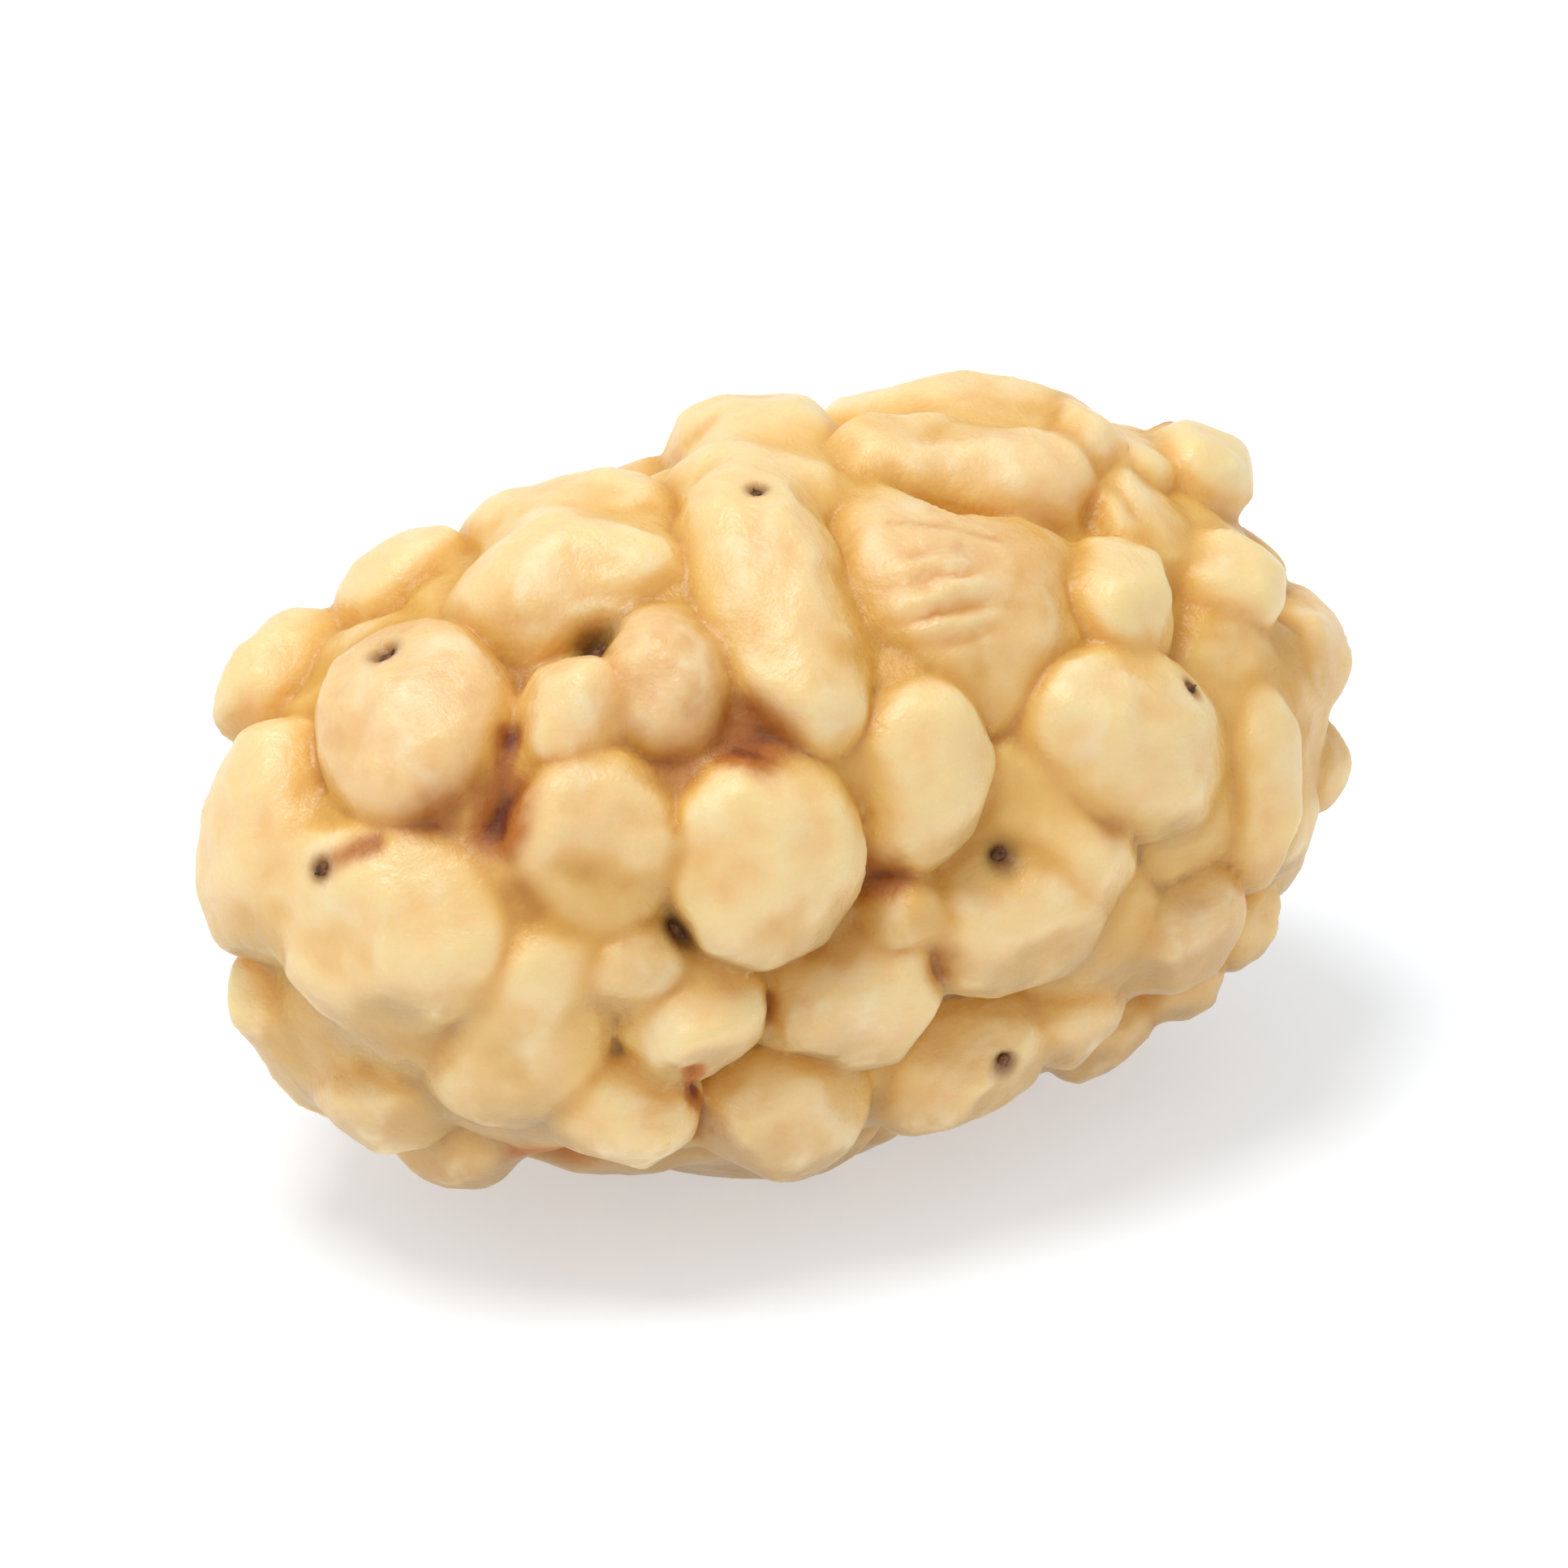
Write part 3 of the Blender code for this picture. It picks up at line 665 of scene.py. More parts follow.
SEEN_SYRUP = {
    "fold": (918, 1165, 0.45, 0.70), "below_rough": (897, 1192, 0.50, 0.50),
    "patch": (868, 1121, 0.45, 0.60), "beside_tongue": (853, 1178, 0.35, 0.50),
    "edge": (1000, 1186, 0.55, 0.45), "pocket": (915, 1226, 0.40, 0.40),
    "crest": (741, 1162, 0.35, 0.35), "pleat": (938, 1116, 0.35, 0.50),
    "far_edge": (1010, 1212, 0.45, 0.45),
}
# pixel and radius of each painted highlight, a pale spot where light glints on a lobe
SEEN_HIGHLIGHTS = {
    "rough": (890, 1150, 0.35), "bead": (764, 1196, 0.30), "tan_far": (968, 1276, 0.28),
    "wedge": (861, 1301, 0.32), "crest": (772, 1163, 0.30), "cheek": (702, 1192, 0.40),
    "pink": (800, 1182, 0.25), "pink_low": (786, 1203, 0.22),
}
print("seen:", len(SEEN_STAINS), "stains,", len(SEEN_SYRUP), "syrup places,", len(SEEN_HIGHLIGHTS), "frosted ones")

# %% [markdown]
# ## Find the marks on the skin
# A ray along the line of sight meets the skin under a pixel. A pit can only open where lobes meet,
# so a pit read a little beside a seam is moved onto it, and the same is done for the stigmas and
# stains of the hidden sides. These come from seeded draws, so that the far side is as marked as
# the near one.

# %% Helpers that find places on the skin
EYE_REACH = 30.0
OVER_SKIN = 5
STAY_NEAR = 0.35


def snapped(place, within):
    """The place where lobes meet that is nearest to a place on the skin."""
    near = np.where(np.linalg.norm(places - place, axis=1) < within)[0]
    meeting = gaps[near, 1] - gaps[near, 0] + STAY_NEAR * np.linalg.norm(places[near] - place, axis=1)
    return places[near[np.argmin(meeting)]].copy()


def surface_tree(places, mesh):
    """The skin as a tree that rays can be cast at."""
    return BVHTree.FromPolygons(places.tolist(), [list(face.vertices) for face in mesh.polygons])


def seen_on_skin(tree, pixel_x, pixel_y):
    """Where the line of sight through a pixel meets the skin."""
    return np.array(tree.ray_cast(sight_line(pixel_x, pixel_y) + TOWARDS * EYE_REACH, -TOWARDS)[0])


def out_on_skin(tree, point):
    """Where a line straight out through a point on the barrel meets the skin."""
    out = outward(point, LOBE_DEPTH)
    return np.array(tree.ray_cast(point + out * OVER_SKIN, -out)[0])


def marks_on_skin(tree, seen):
    """Marks read from the photograph as a place on the skin and the rest of their numbers."""
    return [(seen_on_skin(tree, x, y), *rest) for x, y, *rest in seen.values()]


tree = surface_tree(places, skin)
print("a tree of", len(skin.polygons), "faces to cast rays at")

# %% Every mark's place
STIGMA_SNAP, PIT_SNAP, STAIN_SNAP = 0.45, 0.5, 0.7
STIGMA_RADIUS = (0.15, 0.24)
HIDDEN_STAINS = 16
STAIN_RADIUS = (0.25, 0.55)
STAIN_PART = (0.25, 0.85)
BEHIND = 0.3
MARK_SEED = SEED + 3

mark_rng = random.Random(MARK_SEED)
stigmas = marks_on_skin(tree, SEEN_STIGMAS)
stigmas += [(snapped(out_on_skin(tree, middle), STIGMA_SNAP), mark_rng.uniform(*STIGMA_RADIUS))
            for middle in HIDDEN_DRUPELETS]
pits = [(snapped(place, PIT_SNAP), *rest) for place, *rest in marks_on_skin(tree, SEEN_PITS)]
dishes = marks_on_skin(tree, SEEN_DISHES)
ripples = marks_on_skin(tree, SEEN_RIPPLES)
clefts = [(seen_on_skin(tree, *start), seen_on_skin(tree, *end), *rest)
          for start, end, *rest in SEEN_CLEFTS.values()]
stains = marks_on_skin(tree, SEEN_STAINS)
for _ in range(HIDDEN_STAINS):
    way = Vector((mark_rng.uniform(-1, 1), mark_rng.uniform(-1, 1), mark_rng.uniform(-1, 1)))
    way -= TOWARDS * max(0.0, way.dot(TOWARDS) + BEHIND)
    place = snapped(out_on_skin(tree, on_barrel(way, LOBE_DEPTH)), STAIN_SNAP)
    stains.append((place, mark_rng.uniform(*STAIN_RADIUS), mark_rng.uniform(*STAIN_PART)))
syrups = marks_on_skin(tree, SEEN_SYRUP)
highlight_places = marks_on_skin(tree, SEEN_HIGHLIGHTS)
print(len(stigmas), "stigmas,", len(pits), "pits,", len(clefts), "clefts,", len(stains), "stains")

# %% [markdown]
# ## Seams
# Lobes of one drupelet meet in shallow folds, and drupelets meet in deeper ones. So every group of
# lobes belongs to the drupelet whose stigma is nearest, and a seam between two drupelets is carved
# deeper. How far each point sinks is added up over all the marks, and the skin is moved once.

# %% How far the seams sink
FOLD_WIDTH = 0.16
FOLD_DEPTH = 0.03
SEAM_DEPTH = 0.12
SEAM_MEAN, SEAM_CHANGE, SEAM_PITCH, SEAM_PLACE = 0.75, 0.6, 1.6, 5.2
LINE_WIDTH = 0.30


def barrel_ways(places):
    """Straight out of the barrel, for many places at once."""
    half = np.array([LENGTH, WIDTH, HEIGHT]) / 2 - LOBE_DEPTH
    along = np.abs(places[:, 0]) / half[0]
    across = np.linalg.norm(places[:, 1:] / half[1:], axis=1) + LEAST
    ways = np.column_stack([np.sign(places[:, 0]) * along ** (BLUNTNESS - 1) / half[0],
                            (across ** (BLUNTNESS - 2))[:, None] * places[:, 1:] / half[1:] ** 2])
    return ways / np.linalg.norm(ways, axis=1)[:, None]


stigma_places = np.array([place for place, _ in stigmas])
group_places = [np.mean([shape["place"] for shape in group], axis=0) for group in GROUPS]
drupelet_of = np.array([np.argmin(np.linalg.norm(stigma_places - place, axis=1)) for place in group_places])
outwards = barrel_ways(places)
from_seam = gaps[:, 1] - gaps[:, 0]
between = drupelet_of[nearest[:, 0]] != drupelet_of[nearest[:, 1]]
roughly = SEAM_MEAN + SEAM_CHANGE * noise_values(places, SEAM_PITCH, SEAM_PLACE)
sink = np.exp(-from_seam / FOLD_WIDTH) * roughly * np.where(between, SEAM_DEPTH, FOLD_DEPTH)
line = means(means(means(np.exp(-from_seam / LINE_WIDTH))))
dark, rust_and_shade, rippled = np.zeros(len(places)), np.zeros(len(places)), np.zeros(len(places))
print("deepest seam", round(float(sink.max()), 2), "mm, between", len(stigmas), "drupelets")

# %% [markdown]
# ## Dimples, pits and clefts
# Each is a soft bowl: deepest in its middle and fading out over its radius. A pit follows the seam
# it opened in, so its bowl is weaker away from the seam. The same bowls keep how dark a stigma's
# dimple is, and how rusty a pit or cleft.

# %% Sink the dimples, pits and clefts
DIMPLE_DEPTH, DIMPLE_GROWTH, DARK_GROWTH = 0.24, 1.3, 1.35
PIT_DEPTH, PIT_GROWTH, PIT_OFF_SEAM = 0.6, 1.6, 0.3


def gaps_from(places, middle):
    return np.linalg.norm(places - middle, axis=1)


def gaps_to_line(places, start, end):
    along = end - start
    part = np.clip((places - start) @ along / (along @ along), 0, 1)
    return np.linalg.norm(places - start - part[:, None] * along, axis=1)


def fading(gap, radius, edge=2):
    """1 in the middle, fading with the gap. A higher edge keeps it full for longer."""
    return np.exp(-(gap / radius) ** edge)


for place, radius in stigmas:
    reach = gaps_from(places, place)
    sink += DIMPLE_DEPTH * fading(reach, DIMPLE_GROWTH * radius)
    dark = np.maximum(dark, fading(reach, DARK_GROWTH * radius, 3))
for place, radius, depth, part in pits:
    bowl = fading(gaps_from(places, place), PIT_GROWTH * radius) * (PIT_OFF_SEAM + (1 - PIT_OFF_SEAM) * line)
    sink += PIT_DEPTH * depth * bowl
    rust_and_shade = np.maximum(rust_and_shade, part * bowl)
for start, end, width, depth, part in clefts:
    bowl = fading(gaps_to_line(places, start, end), width)
    sink += depth * bowl
    rust_and_shade = np.maximum(rust_and_shade, part * bowl)
print("deepest place", round(float(sink.max()), 2), "mm")

# %% [markdown]
# ## The fallen lobe and the rippled ones
# Where the flesh under a lobe dried away, the lobe fell in: a dish with a low rim round it. Other
# lobes dried in parallel ripples, like skin on cooled milk. A cosine wave gives them, bent by a
# little noise and fading at the lobe's edge. Where both lie is kept, so that the flattening further
# down leaves them alone.

# %% Sink the dish and raise the ripples
RIM_HEIGHT, RIM_AT, RIM_WIDTH = 0.3, 1.7, 0.45
RIPPLE_BEND, RIPPLE_BEND_PITCH, RIPPLE_PLACE = 0.12, 0.5, 6.6

for place, radius, depth in dishes:
    reach = gaps_from(places, place)
    sink += depth * (fading(reach, radius) - RIM_HEIGHT * fading(reach / radius - RIM_AT, RIM_WIDTH))
    rippled = np.maximum(rippled, fading(reach, radius, 4))
for place, slope, pitch, radius, height in ripples:
    angle = math.radians(slope)
    across = np.array(UP * math.cos(angle) - RIGHT * math.sin(angle))
    phase = (places - place) @ across + RIPPLE_BEND * noise_values(places, RIPPLE_BEND_PITCH, RIPPLE_PLACE)
    fade = fading(gaps_from(places, place), radius, 4)
    sink -= height * np.cos(math.tau * phase / pitch) * fade
    rippled = np.maximum(rippled, fade)
print("dished or rippled:", round(100 * float((rippled > 0.5).mean()), 1), "% of the skin")

# %% [markdown]
# ## Stains, syrup and painted highlights
# These three change no shape. Sap that ran out dried rusty, and more of it gathered in the seams;
# under the cheek and the feet that colour is partly painted shade. Syrup adds to the amber that shows
# through a lobe. Pale spots are painted highlights. With them known, the skin is sunk in one go.

# %% Lay out the stains and sink the skin
STAIN_OFF_SEAM = 0.35

# stains, partly painted shade in the gap under the cheek and under the feet
for place, radius, part in stains:
    patch = fading(gaps_from(places, place), radius)
    rust_and_shade = np.maximum(rust_and_shade, part * patch * (STAIN_OFF_SEAM + (1 - STAIN_OFF_SEAM) * line))
for place, radius, part in syrups:
    looks[:, 2] += part * fading(gaps_from(places, place), radius)
# the painted highlights: pale spots where light glints on lobes
highlight_spots = np.max([fading(gaps_from(places, place), radius) for place, radius in highlight_places], axis=0)
places -= outwards * sink[:, None]
print("rusty:", round(100 * float((rust_and_shade > 0.3).mean()), 1), "% of the skin")

# %% [markdown]
# ## Soft creases and flat patches
# A carved seam is too sharp for dried flesh, so the points nearest to it are eased towards their
# neighbours. Then the lobes get the small flat patches of a thing that dried pressed by others:
# cells of a cell noise mark the patches, and each point moves most of the way to its patch's
# middle plane. Cutting planes would do it too, but would leave edges that are all equally hard.

# %% Ease the creases and flatten the patches
CREASE_WIDTH = 0.12
EASE, EASE_ROUNDS = 0.6, 4
PATCH_PITCH = 0.85
PATCH_PLACE = Vector((7.7, 1.3, 4.1))
PATCH_MOVE = 0.12
FLATTENED = 0.75
RIPPLES_KEPT = 0.8


def vertex_ways(mesh, places):
    """The surface's own outward ways with its points at these places."""
    mesh.vertices.foreach_set("co", places.ravel())
    mesh.update()
    ways = np.empty(len(places) * 3)
    mesh.vertices.foreach_get("normal", ways)
    return ways.reshape(-1, 3)


def patch_moves(places, ways, owners):
    """The way from every point to the middle plane of its own small patch of a lobe."""
    corners = np.array([list(noise.voronoi(Vector(place) / PATCH_PITCH + PATCH_PLACE)[1][0])
                        for place in places])
    patch = np.unique(np.column_stack([np.round(corners, 3), owners]), axis=0, return_inverse=True)[1].ravel()
    count = np.bincount(patch)[:, None]
    middle = np.stack([np.bincount(patch, weights=column) for column in places.T], 1) / count
    facing = np.stack([np.bincount(patch, weights=column) for column in ways.T], 1)
    facing /= np.linalg.norm(facing, axis=1)[:, None] + LEAST
    step = ((middle[patch] - places) * facing[patch]).sum(1)
    return facing[patch] * np.clip(step, -PATCH_MOVE, PATCH_MOVE)[:, None]


crease = np.exp(-from_seam / CREASE_WIDTH)
for _ in range(EASE_ROUNDS):
    places += EASE * crease[:, None] * (means(places) - places)
moves = patch_moves(places, vertex_ways(skin, places), nearest[:, 0])
moves = FLATTENED * ((1 - crease) * (1 - RIPPLES_KEPT * rippled))[:, None] * means(means(moves))
places += moves
print("patches moved the skin by up to", round(float(np.linalg.norm(moves, axis=1).max()), 3), "mm")

# %% [markdown]
# ## Dents and wrinkles
# A drying skin also gives way in soft dents a millimetre across, with faint ridges between them,
# and in fine wrinkles. All three are noise along the surface's own outward way, each with its own
# pitch. They are kept in the geometry and not in a bump, so that they also show on the outline.

# %% Wrinkle the skin
DENT, DENT_PITCH, DENT_MIDDLE = 0.035, 0.95, 0.6
RIDGE, RIDGE_PITCH, RIDGE_MIDDLE, RIDGE_PLACE = 0.025, 0.62, 0.3, 9.4
WRINKLE, WRINKLE_PITCH, WRINKLE_PLACE = 0.012, 0.28, 1.9
DENT_BEND, DENT_STEEP, DENT_PLACE = 0.25, 1.3, 4.4


def dent_values(places, pitch):
    """Dished cells with ridges between them, as in hammered metal, 0 in the dishes and 1 on the ridges."""
    bent = places + DENT_BEND * pitch * noise_ways(places, pitch, DENT_PLACE)
    return np.array([min(1.0, noise.voronoi(Vector(place) / pitch)[0][0] * DENT_STEEP) for place in bent])


ways = vertex_ways(skin, places)
dents = dent_values(places, DENT_PITCH) - DENT_MIDDLE
ridges = RIDGE_MIDDLE - np.abs(noise_values(places, RIDGE_PITCH, RIDGE_PLACE))
wrinkles = noise_values(places, WRINKLE_PITCH, WRINKLE_PLACE)
relief = DENT * dents + RIDGE * ridges + WRINKLE * wrinkles
places += ways * relief[:, None]
print("relief from", round(float(relief.min()), 3), "to", round(float(relief.max()), 3), "mm")

# %% [markdown]
# ## Set the berry on the surface
# The lowest lobes were pressed flat while the berry dried. The same cut as in the solid levels
# them, here with a slightly rounded edge, and the berry is centred over the origin with its flats
# at height 0.

# %% Press flat and centre
PRESSED_FLAT = 0.337
ROUNDING = 0.04

flat_height = places[:, 2].min() + PRESSED_FLAT
above = places[:, 2] - flat_height
places[:, 2] = flat_height + 0.5 * (above + np.sqrt(above ** 2 + ROUNDING ** 2))
low, high = places.min(0), places.max(0)
shift = np.array([-(low[0] + high[0]) / 2, -(low[1] + high[1]) / 2, -low[2]])
places += shift
print("middle of the barrel", np.round(shift, 3))
print("berry", np.round(places.max(0) - places.min(0), 2), "mm")

# %% [markdown]
# ## Hollows, crowns and the lower side
# Colour on the berry follows its form. Crowns are painted pale cream as lit tops, and the hollows
# amber, partly the syrup that gathered there and partly painted shade. Averaging every point with its
# neighbours again and again gives a smoothed berry, and a point that lies under it is in a hollow. A
# few rounds find the seams, and many rounds find the wide valleys. The side that faces down is
# painted darker as shade, so how far the skin there faces down is measured as well.

# %% Measure the hollows and the lower side
NEAR_ROUNDS, NEAR_DEPTH = 14, 0.10
WIDE_ROUNDS, WIDE_DEPTH = 70, 0.30
LEVEL_ROUNDS = 12
LOWER_FROM, LOWER_OVER = 0.25, 0.9
# how much of the lower side's painted shade is added to the wide valleys
UNDERSIDE_SHADE_IN_VALLEYS = 0.3


def smoothed(values, rounds):
    for _ in range(rounds):
        values = means(values)
    return values


def under_level(rounds, depth):
    """How far each point lies under the berry smoothed by these rounds, -1 to 1 over the depth."""
    return ((smoothed(places, rounds) - places) * outwards).sum(1) / depth


outwards = barrel_ways(places - shift)
# how far the skin faces down, for the painted shade on the lower side
lower = np.clip((LOWER_FROM - smoothed(vertex_ways(skin, places)[:, 2], LEVEL_ROUNDS)) / LOWER_OVER, 0, 1)
# the side facing down also adds painted shade to the wide valleys
wide_hollow = under_level(WIDE_ROUNDS, WIDE_DEPTH) + UNDERSIDE_SHADE_IN_VALLEYS * lower
wide_hollow = np.clip(wide_hollow, -1, 1) * 0.5 + 0.5
# the hollows and seams, which the material paints amber as shade
hollow = np.maximum(np.clip(under_level(NEAR_ROUNDS, NEAR_DEPTH), -1, 1) * 0.5 + 0.5, line)
print("in hollows:", round(100 * float((hollow > 0.6).mean()), 1), "% of the skin")

# %% [markdown]
# ## Keep the looks on the points
# A material can't work these numbers out, so each point keeps them. Numbers that belong together
# share one layer of four values: the lobe's looks with the painted highlights, and the hollows with
# the marks.

# %% Give every point its looks
def keep_on_points(mesh, name, *values):
    """Keep four numbers on every point, as the channels of one colour."""
    layer = mesh.attributes.new(name, "FLOAT_COLOR", "POINT")
    layer.data.foreach_set("color", np.column_stack(values).astype(np.float32).ravel())


skin.vertices.foreach_set("co", (places * MM).ravel())
skin.update()
skin.name = "mulberry_skin"
keep_on_points(skin, "looks", looks, highlight_spots)
# how far the skin faces down, kept for the painted shade on the lower side
keep_on_points(skin, "settling", lower, lower, lower, lower)
keep_on_points(skin, "marks", hollow, rust_and_shade, dark, wide_hollow)
skin.shade_smooth()
berry = bpy.data.objects.new("mulberry_skin", skin)
bpy.context.scene.collection.objects.link(berry)
print("skin triangles", sum(len(face.vertices) - 2 for face in skin.polygons))

# %% [markdown]
# ## The colours of the berry
# Each colour is named for the thing it is: cream crowns, gold between them as painted shade, amber
# syrup that also paints shade in the hollows, honey brown as painted shade deep in the seams, burnt
# amber and rust where sap ran out, partly painted shade under the cheek and the feet, a darker tan as
# painted shade on the lower side, and a pale sugary white for bloom and painted highlights. They were
# judged against the photograph. A screen's colours aren't even steps of light, so they are turned to
# linear values.

# %% Colours
def colour(red, green, blue):
    """A colour as the eye names it, 0 to 255, turned to the linear values that shaders take."""
    parts = [part / 255 for part in (red, green, blue)]
    return [part / 12.92 if part <= 0.04045 else ((part + 0.055) / 1.055) ** 2.4 for part in parts] + [1.0]


CREAM = colour(251, 218, 163)
# gold: painted shade between the crowns
GOLD_VALLEY_SHADE = colour(241, 198, 119)
TAN = colour(214, 172, 106)
ROSY = colour(226, 176, 126)
# amber: syrup showing through a lobe, and painted shade in the hollows
AMBER_SYRUP_AND_SHADE = colour(221, 166, 70)
# honey brown: painted shade at the bottom of the seams
SEAM_SHADE_BROWN = colour(158, 102, 42)
# burnt amber: sap stains, and painted shade in the gap under the cheek and under the feet
BURNT_AMBER_AND_SHADE = colour(184, 112, 42)
MOTTLE_BROWN = colour(206, 146, 82)
# darker tan: painted shade on the side that faces down
UNDERSIDE_SHADE_TAN = colour(189, 156, 108)
# rusty brown: dark sap stains, and painted shade in the gap under the cheek and under the feet
RUST_AND_SHADE = colour(118, 48, 20)
# pale sugary white: bloom on the crowns and painted highlights
SUGAR_AND_HIGHLIGHT = colour(255, 240, 206)
STIGMA_BROWN = colour(118, 70, 36)
STUB_DARK, STUB_LIGHT = colour(84, 50, 26), colour(136, 90, 50)
STALK_DARK, STALK_LIGHT = colour(142, 104, 64), colour(180, 140, 92)
print("cream in linear light", [round(part, 2) for part in CREAM[:3]])

# %% [markdown]
# ## Short ways to build a material
# A material is a tree of nodes. Adding and joining them one by one takes four lines each, so these
# helpers do it in one: noise, sums, soft ramps, blends of two colours, and the kept numbers.

# %% Node helpers
class Nodes:
    """Short ways to add and join the nodes of one material."""

    def __init__(self, name):
        self.material = bpy.data.materials.new(name)
        self.material.use_nodes = True
        self.tree = self.material.node_tree
        self.shader = self.tree.nodes["Principled BSDF"]

    def put(self, socket, value):
        """Join a node to a socket, or give the socket a plain value."""
        if isinstance(value, bpy.types.NodeSocket):
            self.tree.links.new(value, socket)
        else:
            socket.default_value = value

    def place(self):
        """The place on the object, in millimetres."""
        where = self.tree.nodes.new("ShaderNodeTexCoord")
        scale = self.tree.nodes.new("ShaderNodeVectorMath")
        scale.operation = "SCALE"
        self.put(scale.inputs[0], where.outputs["Object"])
        scale.inputs["Scale"].default_value = 1 / MM
        return scale.outputs[0]

    def noise(self, place, pitch, detail=2.0, rough=0.5, twist=0.0):
        """Cloudy noise, 0 to 1, with a pitch in millimetres."""
        node = self.tree.nodes.new("ShaderNodeTexNoise")
        self.put(node.inputs["Vector"], place)
        node.inputs["Scale"].default_value = 1 / pitch
        node.inputs["Detail"].default_value = detail
        node.inputs["Roughness"].default_value = rough
        node.inputs["Distortion"].default_value = twist
        return node.outputs[0]

    def math(self, operation, a, b):
        node = self.tree.nodes.new("ShaderNodeMath")
        node.operation = operation
        for socket, value in zip(node.inputs, (a, b)):
            self.put(socket, value)
        return node.outputs[0]

    def times(self, a, b):
        return self.math("MULTIPLY", a, b)

    def plus(self, a, b):
        return self.math("ADD", a, b)

    def ramp(self, value, low, high, to_low=0.0, to_high=1.0):
        """A soft step from one value to another while the first goes from low to high."""
        node = self.tree.nodes.new("ShaderNodeMapRange")
        node.interpolation_type = "SMOOTHSTEP"
        for socket, number in zip(node.inputs, (value, low, high, to_low, to_high)):
            self.put(socket, number)
        return node.outputs[0]

    def blend(self, part, a, b):
        """The first colour where the part is 0, the second where it is 1."""
        node = self.tree.nodes.new("ShaderNodeMix")
        node.data_type = "RGBA"
        self.put(node.inputs["Factor"], part)
        self.put(node.inputs[6], a)
        self.put(node.inputs[7], b)
        return node.outputs[2]

    def kept(self, name):
        """The four values kept on the points under a name."""
        layer = self.tree.nodes.new("ShaderNodeAttribute")
        layer.attribute_name = name
        parts = self.tree.nodes.new("ShaderNodeSeparateColor")
        self.put(parts.inputs[0], layer.outputs["Color"])
        return [parts.outputs[0], parts.outputs[1], parts.outputs[2], layer.outputs["Alpha"]]

    def grain(self, height, distance):
        """Fine relief in the surface, by a bump of this height in millimetres."""
        bump = self.tree.nodes.new("ShaderNodeBump")
        bump.inputs["Distance"].default_value = distance * MM
        self.put(bump.inputs["Height"], height)
        self.put(self.shader.inputs["Normal"], bump.outputs[0])
        return bump


print("node helpers:", ", ".join(name for name in vars(Nodes) if not name.startswith("_")))

# %% [markdown]
# ## Dried flesh
# The flesh is painted in thin layers, each over the last, as it came about on the fruit. First its
# own colour: cream on the crowns, painted pale as lit tops, gold between them as painted shade,
# tanner or rosier by lobe, with a faint brown mottle on the tan and rosy ones.
#
# Then what drying did: syrup that shows as amber in single lobes. Then painted shade: amber in every
# hollow, honey brown at the bottom of some seams, and a darker tan on the side that faces down. Last
# comes the top layer: sugary bloom and painted highlights, rusty sap that is partly painted shade under
# the cheek and the feet, and the dark ring round each stigma.

# %% Flesh colour
def own_colour(nodes, place, blotch, lit_crown, tan, rosy):
    """Cream crowns painted as lit, gold between as painted shade, tan and rosy lobes, and their mottle."""
    pale = nodes.times(lit_crown, nodes.ramp(blotch, 0.3, 0.7, 1.0, 0.75))
    shade = nodes.blend(pale, GOLD_VALLEY_SHADE, CREAM)
    tan_part = nodes.plus(nodes.times(tan, 0.8), nodes.ramp(blotch, 0.4, 0.75, -0.10, 0.12))
    shade = nodes.blend(nodes.ramp(tan_part, 0.0, 1.0), shade, TAN)
    rosy_part = nodes.times(rosy, nodes.ramp(blotch, 0.3, 0.65, 1.0, 0.55))
    shade = nodes.blend(nodes.times(rosy_part, 0.75), shade, ROSY)
    mottled = nodes.ramp(nodes.plus(rosy, nodes.times(tan, 0.4)), 0.2, 0.8, 0.0, 0.30)
    mottle = nodes.times(nodes.ramp(nodes.noise(place, 0.50), 0.46, 0.66), mottled)
    return nodes.blend(mottle, shade, MOTTLE_BROWN)


def dried_colour(nodes, place, blotch, shade, amber, hollow, wide, lower):
    """Amber syrup, and painted shade: amber hollows, honey brown seams and a darker tan lower side."""
    syrup = nodes.times(amber, nodes.ramp(nodes.noise(place, 1.4), 0.38, 0.62, 0.25, 1.0))
    # amber in the wide valleys is painted shade
    syrup = nodes.plus(syrup, nodes.ramp(wide, 0.50, 0.90, 0.0, 0.55))
    shade = nodes.blend(nodes.ramp(syrup, 0.15, 1.0), shade, AMBER_SYRUP_AND_SHADE)
    # amber in every hollow is painted shade
    hollow_shade_patches = nodes.ramp(nodes.noise(place, 1.8), 0.38, 0.62, 0.35, 0.95)
    shade = nodes.blend(nodes.times(nodes.ramp(hollow, 0.35, 0.95), hollow_shade_patches), shade, AMBER_SYRUP_AND_SHADE)
    # honey brown at the bottom of the seams is painted shade
    seam_shade_patches = nodes.ramp(nodes.noise(place, 2.2), 0.50, 0.66, 0.0, 0.6)
    shade = nodes.blend(nodes.times(nodes.ramp(hollow, 0.78, 1.0), seam_shade_patches), shade, SEAM_SHADE_BROWN)
    # a darker tan on the side that faces down is painted shade
    underside_shading = nodes.times(nodes.ramp(lower, 0.15, 1.0), nodes.ramp(blotch, 0.3, 0.7, 1.0, 0.7))
    return nodes.blend(underside_shading, shade, UNDERSIDE_SHADE_TAN)


